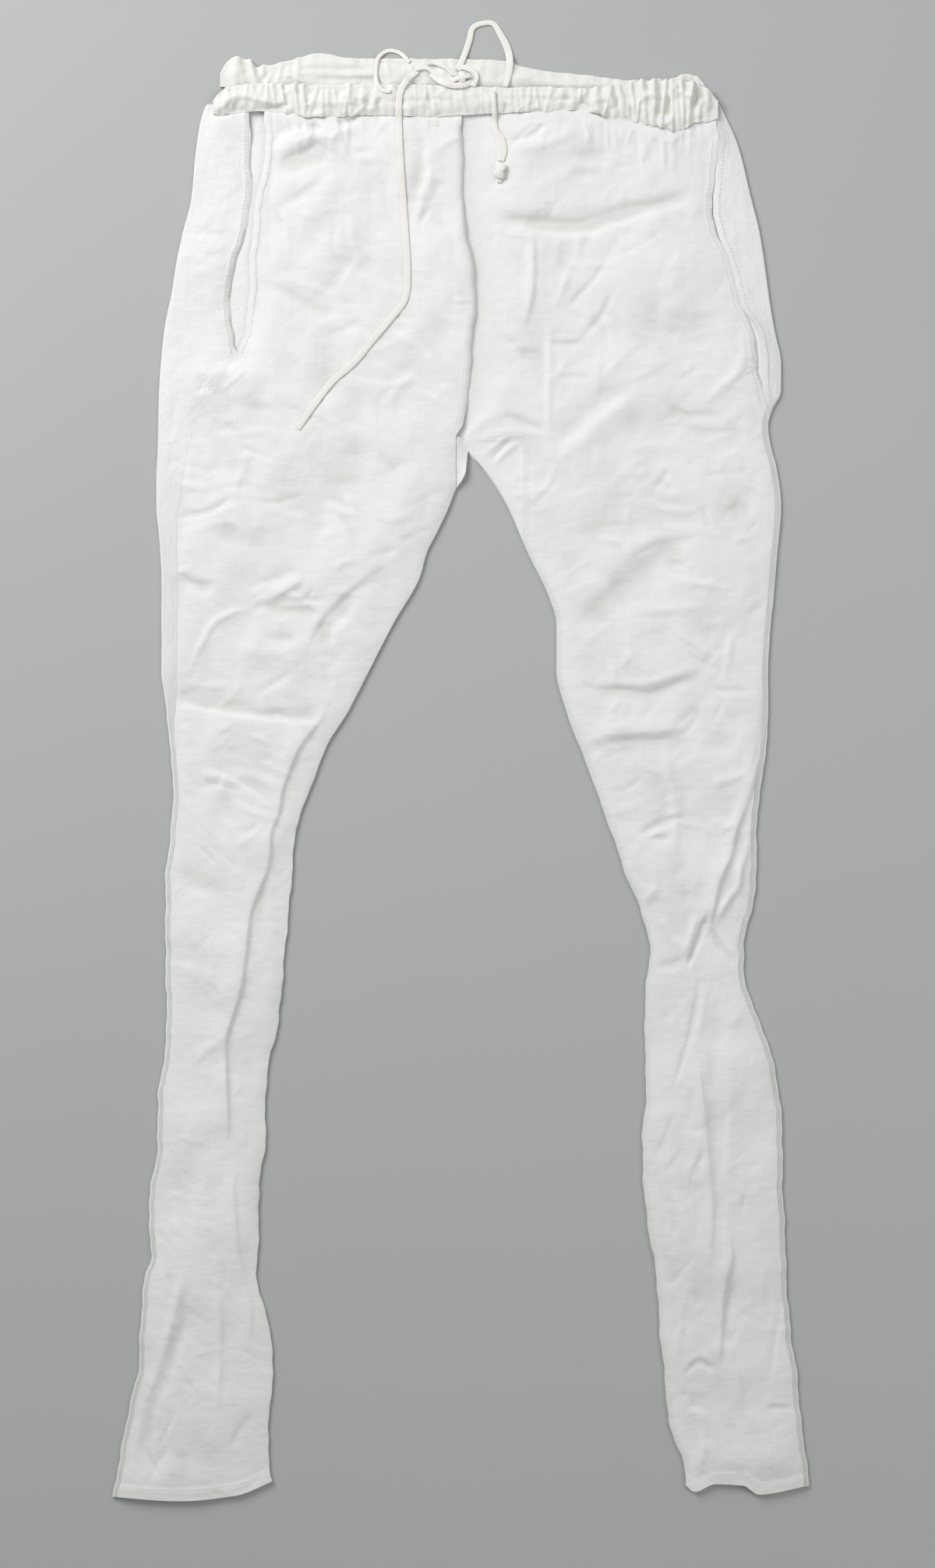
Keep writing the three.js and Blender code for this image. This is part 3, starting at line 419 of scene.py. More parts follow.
def lift_of(creases, x, down):
    """The creases' heights added up: across each line a bell curve with its own width on each side,
    along it a height that swells a little and dies away at both ends."""
    x, down = as_arrays(x, down)
    lift = np.zeros(x.shape)
    for c in creases:
        line = through(c["places"], 4 * len(c["places"]) - 3)
        reach = 2.2 * max(c["left"], c["right"])
        low, high = line.min(0) - reach, line.max(0) + reach
        near = (x > low[0]) & (x < high[0]) & (down > low[1]) & (down < high[1])
        if not near.any():
            continue
        place = np.stack([x[near], down[near]], -1)[:, None]
        step = line[1:] - line[:-1]
        share = np.clip(((place - line[:-1]) * step).sum(-1) / (step**2).sum(-1), 0, 1)
        off = place - line[:-1] - share[..., None] * step
        distance = np.hypot(off[..., 0], off[..., 1])
        k = distance.argmin(1)
        row = np.arange(len(k))
        off, share, distance = off[row, k], share[row, k], distance[row, k]
        turned = step[k, 0] * off[:, 1] - step[k, 1] * off[:, 0]
        width = np.where(turned < 0, c["left"], c["right"])
        run = (k + share) / len(step)
        ends = ramp(run, -0.02, c["fade"]) * ramp(1 - run, -0.02, c["fade"])
        swell = 0.88 + 0.12 * np.sin(run * np.hypot(*(high - low)) / 7 + line[0, 0])
        lift[near] += c["high"] * ends * swell * bell(distance, width)
    return lift


def crumples(text):
    """Small creases strewn at random in patches of cloth: lean is their usual direction in degrees
    from +X towards the hem, and spread how far they stray from it."""
    made = []
    for count, seed, left, right, top, foot, lean, spread, longest, deepest in table(
        "count seed left right top foot lean spread longest deepest", text
    ).tolist():
        rng = np.random.default_rng(int(seed))
        for _ in range(int(count)):
            middle = rng.uniform((left, top), (right, foot))
            angle = math.radians(rng.normal(lean, spread))
            half = longest * rng.uniform(0.15, 0.5) * np.array((math.cos(angle), math.sin(angle)))
            bent = middle + rng.normal(0, 0.12) * half[::-1] * (-1, 1)
            high, width = deepest * rng.uniform(0.25, 1) * rng.choice((-1, 1)), rng.uniform(1.7, 4.6)
            other = width * rng.uniform(0.45, 1.1)
            made.append(crease(high, width, other, middle - half, bent, middle + half, fade=0.35))
    return made


RIGHT = {"side": -1, "outline": RIGHT_OUTLINE, "flank": RIGHT_FLANK, "hem": RIGHT_HEM, "seed": 11}
LEFT = {"side": 1, "outline": LEFT_OUTLINE, "flank": LEFT_FLANK, "hem": LEFT_HEM, "seed": 23}
RIGHT["slit_foot"], LEFT["slit_foot"] = 236, 268  # down, where the side seams begin
RIGHT["crumples"] = crumples("""
150 3 -232 8 60 330 15 40 60 0.5, 150 4 -236 -20 320 620 10 40 50 0.66,
170 5 -262 -128 600 1110 70 40 42 0.3, 70 14 -236 -168 50 330 8 40 34 0.5,
60 16 -262 -212 860 1100 82 18 44 0.5
""")
LEFT["crumples"] = crumples("""
160 6 -8 244 60 330 -15 45 60 0.5, 150 7 20 244 320 620 -12 40 50 0.66,
170 8 118 262 600 1110 105 40 42 0.34, 60 15 196 248 60 330 60 50 34 0.5,
60 17 140 186 800 1050 96 18 44 0.5
""")


def waver(down, seed):
    """A hand-cut edge's small wandering, in millimetres."""
    return 0.4 * np.sin(down / 6.3 + seed) + 0.25 * np.sin(down / 2.7 + 2 * seed)


def outer(leg, down):
    """x of a leg's side, which wavers below the slit."""
    return smooth(leg["outline"], "outer", down) + waver(down, leg["seed"]) * ramp(down, 330, 700)


def inner(leg, down):
    """x of a leg's seat seam and inseam, which wavers below the crotch."""
    return smooth(leg["outline"], "inner", down) + waver(down, 5 * leg["side"]) * ramp(down, 400, 700)


def front_edge(leg, down):
    """x of a front's outer edge: the side less what the back turns over, wavering along the slit."""
    slit = 1 - seamed(leg, down)
    edge = outer(leg, down) - leg["side"] * smooth(leg["flank"], "wrap", down)
    return edge + slit * waver(down, leg["seed"])


def centre_edge(down):
    """Where the lap's rolled edge ends: a little beyond its crest."""
    return smooth(CENTRE_EDGE, "x", down) + (2.6 + waver(down, 1)) * ramp(GUSSET_TOP - down, 4, 34)


def gathers(piece, seed, pitch):
    """Places and shapes of a casing's gathers: unevenly spaced, each with its lean and width."""
    rng = np.random.default_rng(seed)
    count = int((piece["x"][-1] - piece["x"][0]) / pitch)
    start = np.cumsum(rng.uniform(0.45, 1.55, count)) * pitch + piece["x"][0]
    lean, wide = rng.normal(0, 3.5, count), pitch * rng.uniform(0.28, 0.6, count)
    return columns_of("x lean wide high", list(zip(start, lean, wide, rng.uniform(0.45, 1.25, count))))


GATHERS = {
    "casing_back": gathers(BACK_CASING, 31, 8.5),
    "casing_front_right": gathers(RIGHT_CASING, 32, 5.4),
    "casing_front_left": gathers(LEFT_CASING, 33, 5.4),
}


def gather_lift(folds, x, share):
    """Bell-shaped ridges across a casing, leaning with their share of the way from foot to edge."""
    lift = np.zeros(np.broadcast(x, share).shape)
    for g in folds:
        lift += (g["high"] * bell(x - g["x"] - g["lean"] * (share - 0.4), g["wide"])) ** 3
    return np.cbrt(lift)


def foot_pleats(piece, folds, reach):
    """The gathers run on below a casing's foot as short pleats that die away in the front."""
    rng = np.random.default_rng(len(folds))
    made = []
    for fold in folds:
        x, foot = fold["x"], float(smooth(piece, "foot", fold["x"]))
        high = float(smooth(piece, "gather", x)) * fold["high"] * 0.26
        run, slant = reach * rng.uniform(0.35, 1.2), rng.normal(0, 0.18)
        places = [(x, foot - 8), (x + slant * run * 0.4, foot + run * 0.4), (x + slant * run, foot + run)]
        made.append(crease(high, fold["wide"] * 0.9, fold["wide"] * rng.uniform(0.45, 0.9), *places))
    return made


PLEATS = foot_pleats(RIGHT_CASING, GATHERS["casing_front_right"], 34)
PLEATS += foot_pleats(LEFT_CASING, GATHERS["casing_front_left"], 34)


def relief(leg, x, down):
    """Everything that lifts or dents the cloth of one side: creases, pleats, crumples and ripples."""
    lift = lift_of(CREASES, x, down) + lift_of(PLEATS, x, down) + lift_of(leg["crumples"], x, down)
    slow = 0.8 * ripple(x, down, 95, leg["seed"]) + 0.2 * ripple(x, down, 34, leg["seed"] + 1)
    return lift + slow + 0.035 * ripple(x, down, 13, leg["seed"] + 2)


def seamed(leg, down):
    """1 below the slit, where the side seam is closed, and 0 along the slit."""
    return ramp(down, leg["slit_foot"] - 4, leg["slit_foot"] + 14)


def rounded(leg, x, down):
    """How far the puff and creases come up, 0 to 1: the cloth comes down where it folds over at
    the side and at the inseam."""
    to_side = np.maximum(0, np.abs(x - outer(leg, down)) - TURN)
    to_inseam = np.abs(x - inner(leg, down)) + np.maximum(0, CROTCH - down)
    rise = 1 - np.exp(-np.minimum(to_side, to_inseam) / 11)
    return rise * (0.35 + 0.65 * ramp(smooth(leg["hem"], "down", 0.5) - down, 0, 25))


def casing_edges(casing, x):
    """A casing's upper edge and foot, which waver with its gathers."""
    head, foot, depth = (smooth(casing["rows"], key, x) for key in ("top", "foot", "gather"))
    high, low = (np.clip(gather_lift(casing["folds"], x, share), 0, 1.25) for share in (1, 0))
    return head + 0.8 * depth * (0.6 - high), foot - 0.7 * depth * (0.5 - low)


def foot_rise(leg, x, down):
    """1 at the casing's foot, where the cloth is lifted by it, and 0 well below."""
    foot = smooth(leg["casing"]["rows"], "foot", x)
    return 1 - ramp(down, foot + 1, foot + 34)


def clear_of_casing(leg, x, down, under):
    """Keeps an underside low enough above the casing's foot to pass beneath it."""
    foot = casing_edges(leg["casing"], x)[1]
    low = np.minimum(under, BELOW_CASING)
    return low + (under - low) * ramp(down, foot - 1, foot + 0.1)


def front_under(leg, x, down):
    """A front's underside: rolled down on to the back at its edges, puffed up between them, and
    raised to the casing's foot at the waist, then low again under it."""
    sizes = bpy.context.scene.trousers
    to_slit = np.abs(x - front_edge(leg, down))
    open_slit = 1 - seamed(leg, down)
    edge = rounded(leg, x, down) * (1 - open_slit * np.exp(-to_slit / 12))
    rise = foot_rise(leg, x, down)
    lift = np.minimum(sizes.creases * relief(leg, x, down), 0.3 + 7 * (1 - rise))
    puff = np.maximum(0, sizes.puff / MM + lift)
    hem = (0.2 * bell(to_slit - 3, 2.4) - 0.42 * np.exp(-to_slit / 5)) * gaping(leg, down)
    under = ON_BACK + puff * np.maximum(edge, rise * 0.95) + hem
    return clear_of_casing(leg, x, down, under)


def right_under(x, down):
    """The right front: its centre edge is rolled and stands over the left front."""
    inside = centre_edge(down) - x
    cloth = front_under(RIGHT, x, down)
    crest = LAP_CREST + 0.5 * np.sin(down / 47) - 1.6 * ramp(inside, 10, 36)
    turn = 1 - np.clip(inside / (5 + np.sin(down / 31)), 0, 1)
    lapped = LAP_FLOOR + (np.maximum(cloth, crest) - LAP_FLOOR) * np.sqrt(1 - turn**2)
    under = cloth + (lapped - cloth) * ramp(GUSSET_TOP - down, 0, 40) * ramp(down, 50, 66)
    low = LAP_FLOOR * (1 - ramp(inside, 8, 22)) * (1 - ramp(down, GUSSET_TOP, GUSSET_TOP + 16))
    return np.maximum(under, low)


def left_under(x, down):
    """The left front: it lies flat under the right front's edge and rises slowly beyond it."""
    reach = 42 - 36 * ramp(down, 262, GUSSET_TOP)
    clear = ramp(x, centre_edge(down) + 1, centre_edge(down) + reach)
    clear = np.where(down < GUSSET_TOP + 10, clear, 1)
    return ON_BACK + (front_under(LEFT, x, down) - ON_BACK) * clear


def gaping(leg, down):
    """1 where the slit stands open and 0 where its edges meet."""
    return ramp(smooth(leg["flank"], "slit", down), 1.2, 2.8) * (1 - seamed(leg, down))


def strip_end(leg, down):
    """The edge of a back's turned strip: the slit's edge, and the side seam below the slit."""
    slit = smooth(leg["flank"], "slit", down)
    return front_edge(leg, down) + leg["side"] * (0.08 + (slit - 0.08) * gaping(leg, down))


def strip_under(leg, x, down):
    """The strip of back that is turned over on to the front, with a hemmed, raised slit edge."""
    sizes = bpy.context.scene.trousers
    open_slit = 1 - seamed(leg, down)
    to_end = np.abs(x - strip_end(leg, down))
    wide = smooth(leg["flank"], "wrap", down)
    puff = sizes.puff / MM * (0.45 + 0.55 * seamed(leg, down)) + sizes.creases * relief(leg, x, down)
    rise = rounded(leg, x, down) * (1 - open_slit * np.exp(-to_end / 10))
    hem = 0.3 * bell(to_end - 3, 2.6) - 0.5 * np.exp(-to_end / 5)
    hem = hem * gaping(leg, down) * ramp(wide, 6, 14)
    to_side = np.abs(x - outer(leg, down)) - TURN
    lifted = 3.3 * foot_rise(leg, x, down) * ramp(to_side, 0, 16)
    return clear_of_casing(leg, x, down, ON_BACK + np.maximum(np.maximum(0, puff) * rise, lifted) + hem)


BACK_FOLDS = creases_of("""
-1.3 2.2 3: -125 12, -95 13, -68 13
-1.2 2 3.2: -118 20, -90 20.5, -52 20
0.8 2.5 2.5: -112 6, -90 7, -60 8
0.8 3 3: 28 17, 60 21, 96 22
-1.4 2.2 3: 36 25, 70 28.5, 130 26
-1.6 2 2.5: -151 10, -150 17, -154 24
-1.4 2 2.4: -143 8, -143 16, -146 23
-1 2 2.4: -134 8, -137 15, -138 22
0.7 3 3: -100 17, -80 17.5, -60 16
-0.8 2 3: 48 17, 70 20, 90 19
""")
BACK_FOLDS += crumples("90 10 -182 186 3 38 4 28 40 0.8")
FRONT_FOLDS = creases_of("""
2 4 3: -188 39, -168 34.5, -150 39, -134 40
-2.2 2.2 2.6: -161 46, -146 45, -131 40
1.6 3 3: -192 48, -182 41, -172 37
-1.2 3 4: -118 29, -95 27, -70 26
0.8 3 3: -118 38, -95 40, -70 36
-0.8 2 2.5: -60 40, -44 38, -28 39
-0.9 1.8 2: -28 37.5, -16 37.2, -4 38
-1 2 3: 32 38, 52 36, 74 38
1.3 3 3: 62 30, 84 34, 101 32
-1 2.4 3: 82 41, 95 42, 104 46
1.4 2.5 3.5: 98 36, 106 46, 114 53
-1.2 2.4 3: 112 53, 122 53, 131 52
1.2 3 4: 146 28, 150 38, 146 50
-1.2 3 4: 156 24, 160 38, 158 52
1.6 3 3: 176 20, 177 33, 171 46
-1.4 3 3: 181 23, 182 34, 178 46
1.4 3 3: 185 21, 187 32, 182 46
""")
FRONT_FOLDS += crumples("230 9 -192 198 22 62 76 42 20 1.1, 100 12 -192 198 24 60 5 24 30 0.8")


def casing_shape(name, rows, base, thick, ends, creases, cut):
    """A casing: its edges and gathers, its height, its tapered ends, its small folds and how deep it
    is cut, in metres. How deep it is cut is not used."""
    parts = {"name": name, "rows": rows, "base": base, "thick": thick, "ends": ends, "cut": cut}
    return {**parts, "folds": GATHERS[name], "creases": creases}


CASINGS = [
    casing_shape("casing_back", BACK_CASING, 0.2, 3.2, (0, -1), BACK_FOLDS, 0.042),
    casing_shape("casing_front_right", RIGHT_CASING, CASING_UNDER, 3.8, (0,), FRONT_FOLDS, 0.054),
    casing_shape("casing_front_left", LEFT_CASING, CASING_UNDER, 3.8, (-1,), FRONT_FOLDS, 0.054),
]
RIGHT["casing"], LEFT["casing"] = CASINGS[1:]


def to_ends(casing, x):
    """How far a place is from a casing's open ends."""
    return np.min([np.abs(x - casing["rows"]["x"][k]) for k in casing["ends"]], axis=0)


def casing_over(casing, x, down, share):
    """The height of a casing's upper side: a soft tube, higher in the middle, under its gathers and
    folds."""
    puffed = 0.42 + 0.58 * (1 - np.abs(2 * share - 1) ** 2)
    puffed = puffed * (0.55 + 0.45 * ramp(to_ends(casing, x), 0, 12))
    depth = smooth(casing["rows"], "gather", x) * bpy.context.scene.trousers.gathers
    ridges = gather_lift(casing["folds"], x, share) * (0.6 + 0.5 * share)
    small = lift_of(casing["creases"], x, down) * np.minimum(1, 0.45 + 0.4 * depth)
    level = casing["thick"] * puffed + depth * (ridges - 0.3) + 1.5 * small
    if casing["base"] < 1:
        level = np.minimum(level, 3.4 + 6 * ramp(share, 0.16, 0.34))
    return casing["base"] + np.maximum(level, 1.5)


def cloth_top(x, down):
    """The top of the highest cloth at a place."""
    x, down = as_arrays(x, down)
    below = down > FRONT_TOP
    right = np.where(below & (x < centre_edge(down)), right_under(x, down), 0)
    left = np.where(below, left_under(x, down), 0)
    top = np.maximum(np.maximum(right, left), 0) + CLOTH * below
    for casing in CASINGS:
        rows = casing["rows"]
        head, foot = (smooth(rows, key, x) for key in ("top", "foot"))
        share = np.clip((foot - down) / (foot - head), 0, 1)
        on = (x > rows["x"][0]) & (x < rows["x"][-1]) & (down > head - 0.5) & (down < foot + 0.5)
        top = np.where(on, np.maximum(top, casing_over(casing, x, down, share)), top)
    return top


def in_frame(x, down, z):
    """Puts table millimetres in the frame, in metres."""
    return np.stack(np.broadcast_arrays(x + SHIFT_X, LENGTH / 2 - down + SHIFT_Y, z), -1) * MM


def placed(name, data):
    """An object at the origin, in the scene."""
    obj = bpy.data.objects.new(name, data)
    bpy.context.scene.collection.objects.link(obj)
    return obj


def new_piece(name, points, faces, material, uv, painted_shade=None):
    """A smooth mesh object from arrays, with a UV map in metres and a mark of painted shade per vertex."""
    mesh = bpy.data.meshes.new(name)
    mesh.from_pydata(points.tolist(), [], faces)
    mesh.polygons.foreach_set("use_smooth", np.ones(len(mesh.polygons), bool))
    mesh.set_sharp_from_angle(angle=math.radians(62))
    corner = np.empty(len(mesh.loops), np.int32)
    mesh.loops.foreach_get("vertex_index", corner)
    mesh.uv_layers.new(name="cloth").data.foreach_set("uv", uv[corner].ravel())
    # The painted shade goes in the point attribute named depth.
    if painted_shade is not None:
        depth = mesh.attributes.new("depth", "FLOAT", "POINT")
        depth.data.foreach_set("value", painted_shade.astype(np.float32))
    mesh.materials.append(material)
    mesh.update()
    obj = placed(name, mesh)
    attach(obj, "root")
    return obj


# A grid cell's neighbours, and the two corners of its edge towards each.
SIDES = (
    ((-1, 0), (0, 0), (0, 1)), ((1, 0), (1, 1), (1, 0)),
    ((0, -1), (1, 0), (0, 0)), ((0, 1), (0, 1), (1, 1)),
)


def shell(name, top, under, slot, uv, painted_shade=None, coarse=1, keep=None):
    """A closed shell in place of the node of that name: two faces on a grid of rows and columns,
    joined by a band round the rim. The under face may be coarser: it takes every so many rows and
    columns. keep says which of the coarse cells there are."""
    under, uv_under = under[::coarse, ::coarse], uv[::coarse, ::coarse]
    keep = np.ones(np.subtract(under.shape[:2], 1), bool) if keep is None else keep
    numbers = [np.arange(len(g) * len(g[0])).reshape(g.shape[:2]) for g in (top, under)]
    numbers[1] += numbers[0].size
    fine_keep = keep.repeat(coarse, 0).repeat(coarse, 1)
    faces = []
    for at, kept, step in ((numbers[0], fine_keep, 1), (numbers[1], keep, -1)):
        quads = np.stack([at[:-1, :-1], at[1:, :-1], at[1:, 1:], at[:-1, 1:]], -1)[kept]
        faces.append(quads[:, ::step])
    padded = np.pad(keep, 1)
    for (row, column), start, end in SIDES:
        beside = padded[1 + row : 1 + row + keep.shape[0], 1 + column : 1 + column + keep.shape[1]]
        cell = np.argwhere(keep & ~beside)
        ends = [cell + start, cell + end]
        rim = [coarse * ends[0] + k * (ends[1] - ends[0]) for k in range(coarse + 1)]
        band = [numbers[0][tuple(p.T)] for p in rim] + [numbers[1][tuple(p.T)] for p in ends[::-1]]
        faces.append(np.stack(band, 1))
    across = np.cross(top[0, 1] - top[0, 0], top[1, 0] - top[0, 0])
    if across @ (top[0, 0] - under[0, 0]) > 0:
        faces = [part[:, ::-1] for part in faces]
    points = np.concatenate([top.reshape(-1, 3), under.reshape(-1, 3)])
    spread = np.concatenate([uv.reshape(-1, 2), uv_under.reshape(-1, 2)])
    used = np.unique(np.concatenate([part.ravel() for part in faces]))
    if painted_shade is not None:
        painted_shade = np.r_[painted_shade.ravel(), np.zeros(len(points) - painted_shade.size)][used]
    renumber = np.zeros(len(points), int)
    renumber[used] = np.arange(len(used))
    faces = [face for part in faces for face in renumber[part].tolist()]
    material = material_named(slot.split("_")[0])
    piece = new_piece(name.capitalize(), points[used], faces, material, spread[used], painted_shade)
    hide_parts(name)
    return piece


def cloth_uv(x, down):
    """The weave's grain: straight down the piece, in metres."""
    return np.stack(np.broadcast_arrays(x, down), -1) * MM


def padded_along(z, axis, reach):
    """The grid with its edge values repeated beyond both its ends along one axis."""
    return np.pad(z, [(reach, reach) if a == axis else (0, 0) for a in (0, 1)], "edge")


def painted_hollow_shade(z, wide):
    """How far a place lies below the ground around it, 0 to 1: painted shade, which colours the cloth darker
    and warmer in its folds.
    """
    level, kernel = z, np.ones(wide) / wide
    for axis in (0, 1):
        level = np.apply_along_axis(
            np.convolve, axis, padded_along(level, axis, wide // 2), kernel, "valid"
        )
    return np.clip((level - z) / 1.2, 0, 1)


def hem_thickness(leg, x, down):
    """The extra cloth of a narrow turned hem, along the leg's end and the slit's edge."""
    to_slit = np.abs(x - front_edge(leg, down))
    slit = ramp(SLIT_HEM - to_slit, 0, 1.2) * (1 - ramp(down, 228, 240))
    slit = slit * (smooth(leg["flank"], "slit", down) > 0.4)
    share = np.clip((x - outer(leg, down)) / (inner(leg, down) - outer(leg, down)), 0, 1)
    to_hem = smooth(leg["hem"], "down", share) - down
    extra = np.maximum(0.8 * ramp(LEG_HEM - to_hem, 0, 1.5), 0.35 * slit)
    thin = ramp(GUSSET_TOP - down, 0, 12) * (leg["side"] < 0)
    extra = extra - 0.55 * thin * (1 - ramp(centre_edge(down) - x, 0, 4))
    return extra - 0.4 * (1 - ramp(to_slit, 0, 2.5)) * gaping(leg, down)


def panel_down(leg, rows, share):
    """The rows' places on the panel: level down to the thighs, then turning into the hem's line."""
    hem = smooth(leg["hem"], "down", share)
    return rows[:, None] + (hem - LENGTH)[None] * ramp(rows, 500, LENGTH)[:, None]


def low_around(z):
    """The lowest height within a coarse cell's reach: an underside that never comes through the top."""
    for axis, size in enumerate(z.shape):
        wide = padded_along(z, axis, COARSE)
        z = np.min([np.take(wide, range(k, k + size), axis) for k in range(2 * COARSE + 1)], axis=0)
    return z


def strips_of(cells):
    """Shares of the way over three strips in a row. The last two leave out their first line, which
    is the strip before's last."""
    shares = [np.linspace(0, 1, count + 1) for count in cells]
    return shares[0], shares[1][1:], shares[2][1:]


def make_front(name, leg, inner_edge, split, under_of):
    """A front: a grid from the side to the split and on to the centre edge. Beyond the split it
    ends at the gusset. Its top stands on its under face by the cloth's thickness, more at hems."""
    long, wide, beyond = FRONT_CELLS
    rows = np.interp(np.arange(long + 1), (0, 52, CUT_ROW, long), (FRONT_TOP, 70, CUT, LENGTH))
    share = np.r_[np.linspace(0, 1, wide + 1), np.ones(beyond)]
    past = np.r_[np.zeros(wide + 1), np.arange(1, beyond + 1) / beyond]
    down = panel_down(leg, rows, share)
    start, middle, end = front_edge(leg, down), split(down), inner_edge(down)
    x = start + (middle - start) * share + (end - middle) * past
    under = under_of(x, down)
    top = under + CLOTH + hem_thickness(leg, x, down)
    low = np.maximum(ON_BACK - 0.1, low_around(under))
    keep = np.ones((long // COARSE, (wide + beyond) // COARSE), bool)
    keep[CUT_ROW // COARSE :, wide // COARSE :] = False
    # Painted shade: the folds' hollows, and on the left front a painted shadow of the right front's lap,
    # darkest at its edge and fading over about 11 mm.
    beside = np.exp(-np.maximum(0, x - centre_edge(down)) / 11) * (1 - ramp(down, 262, 292))
    painted_shade = np.maximum(painted_hollow_shade(top, 17), beside * (leg["side"] > 0))
    return shell(
        name, in_frame(x, down, top), in_frame(x, down, low), "linen",
        cloth_uv(x - 120 * leg["side"], down), painted_shade, COARSE, keep,
    )


def make_back(name, leg):
    """A back: flat on the surface, round the side in a half circle, and a strip over the front."""
    flat, turn, strip = strips_of(BACK_COLUMNS)
    over_front = slice(len(flat) + len(turn), None)
    rows = np.linspace(FRONT_TOP, LENGTH, BACK_ROWS + 1)[:, None]
    side = leg["side"]
    down = panel_down(leg, rows[:, 0], 1 - np.r_[flat, np.ones(len(turn) + len(strip))])
    at_seam, at_side = down[:, :1], down[:, -1:]
    bend_at = outer(leg, at_side) - side * TURN
    seam = inner(leg, at_seam) + np.where(rows < CROTCH + 15, 0.15 * side, 0)
    end = strip_end(leg, at_side)
    x_flat = seam + (bend_at - seam) * flat
    raised = (FRONT_TOP - smooth(BACK_CASING, "foot", x_flat) - 0.3) * (1 - ramp(flat, 0.6, 1))
    down[:, : len(flat)] -= raised * (1 - ramp(rows, FRONT_TOP, 110))
    x_strip, down_strip = bend_at + (end - bend_at) * strip, down[:, over_front]
    strip_low, open_slit = strip_under(leg, x_strip, down_strip), gaping(leg, down_strip)
    to_end = np.abs(x_strip - end)
    hem = 0.35 * ramp(SLIT_HEM - to_end, 0, 1.5) - 1.1 * (1 - ramp(to_end, 0, 4))
    angle = math.pi * (turn - 0.5)
    faces = []
    for radius, low, over in ((TURN, 0, CLOTH), (TURN - CLOTH, CLOTH, 0)):
        x_turn = bend_at + side * radius * np.cos(angle)
        z_turn = np.broadcast_to(TURN + radius * np.sin(angle), (len(rows), len(turn)))
        x = np.concatenate([x_flat, x_turn, x_strip], 1)
        thick = over * (1 + hem * open_slit)
        z = np.concatenate([np.full_like(x_flat, low), z_turn, strip_low + thick], 1)
        faces.append(in_frame(x, down, z))
    across = np.r_[flat * 240, 240 + turn * 4, 244 + strip * 60] * side
    # Painted shade: the flat back, seen in the slits beneath the fronts, is coloured fully shaded, and the
    # strip darker near the open slit's edge.
    slit_edge_shade = 0.7 * np.exp(-to_end / 9) * ramp(down_strip, 140, 190) * open_slit
    painted_shade = np.concatenate([np.ones_like(x_flat), np.zeros_like(x_turn), slit_edge_shade], 1)
    return shell(name, *faces, "linen", cloth_uv(across, rows), painted_shade)


def make_gusset():
    """The gusset: a grid from its seam with the fronts to its fold, where the legs part."""
    share = np.linspace(0, 1, GUSSET_CELLS + 1)
    x = np.tile(GUSSET_RIGHT + (GUSSET_LEFT - GUSSET_RIGHT) * share, (len(share), 1))
    down = GUSSET_TOP + (smooth(GUSSET_FOOT, "down", x) - GUSSET_TOP) * share[:, None]
    start = 1 - 8 * ramp(down, GUSSET_TOP, GUSSET_TOP + 14)
    under = ON_BACK + (front_under(LEFT, x, down) - ON_BACK) * ramp(x, start, 6)
    beside = right_under(np.full_like(x, GUSSET_RIGHT - 0.1), down)
    under = under + (beside - under) * (1 - ramp(x, GUSSET_RIGHT, 5))
    return shell(
        "gusset", in_frame(x, down, under + CLOTH), in_frame(x, down, under), "linen", cloth_uv(x, down)
    )


def make_casing(casing):
    """A casing: a strip folded lengthways, from its foot along the underside, round the waist edge
    and back over the gathers to its foot. rim is how far below the edge its turn begins."""
    rows = casing["rows"]
    x = np.linspace(rows["x"][0], rows["x"][-1], CASING_COLUMNS + 1)[None]
    head, foot = casing_edges(casing, x)
    taper = 1 - ramp(to_ends(casing, x), 0, 9)
    head, foot = head + 2 * taper**2, foot - 2 * taper**2
    under, turn, over = (part[:, None] for part in strips_of(CASING_ROWS))
    rim = 2.0
    over_down = head + rim + (foot - head - rim) * over
    over_z = casing_over(casing, x, over_down, 1 - over)
    crest, angle = over_z[:1], math.pi * (turn - 0.5)
    faces = []
    for inset in (0, CASING_CLOTH):
        low = np.broadcast_to(casing["base"] + inset, x.shape)
        middle, radius = (low + crest - inset) / 2, (crest - inset - low) / 2
        flat_down = foot + (head + rim - foot) * under
        turn_down = head + rim - (rim - inset) * np.cos(angle)
        down = np.concatenate([flat_down, turn_down, over_down])
        z = np.concatenate([low + 0 * under, middle + radius * np.sin(angle), over_z - inset])
        faces.append(in_frame(x, down, z))
    along = np.cumsum(np.r_[0, np.full(CASING_COLUMNS, 0.9)])
    around = np.concatenate([under * 24, 24 + turn * 5, 29 + over * 24])
    # Painted shade in the hollows of the gathers on the casing's upper side; none on its underside and turn.
    hollow = np.zeros((len(under) + len(turn), x.size))
    painted_shade = np.concatenate([hollow, painted_hollow_shade(faces[0][len(hollow) :, :, 2] / MM, 9)])
    return shell(casing["name"], *faces, "casing_linen", cloth_uv(along, around), painted_shade)


def curve_through(route):
    """Points about 1.2 mm apart on a curve through a route, as x, down, width, thickness."""
    p = np.stack([route[key] for key in ("x", "down", "wide", "thick")], 1)
    length = np.hypot(*np.diff(p[:, :2], axis=0).T).sum()
    return through(p, max(int(length / 1.2), 24))


def resting_height(path):
    """The height of a tape's centreline: 0.2 mm and half its thickness over the highest cloth beneath
    it, softened along its run."""
    x, down, wide, thick = path.T
    along = np.gradient(path[:, :2], axis=0)
    along /= np.hypot(*along.T)[:, None]
    reach = np.linspace(-0.5, 0.5, 5)[:, None] * wide
    cover = cloth_top(x - reach * along[:, 1], down + reach * along[:, 0]).max(0)
    wide_cover = np.max([np.roll(np.pad(cover, 2, "edge"), k)[2:-2] for k in (-2, -1, 0, 1, 2)], axis=0)
    kernel = np.hanning(9) / np.hanning(9).sum()
    soft = np.convolve(np.pad(wide_cover, 4, "edge"), kernel, "valid")
    return soft + 0.2 + thick / 2


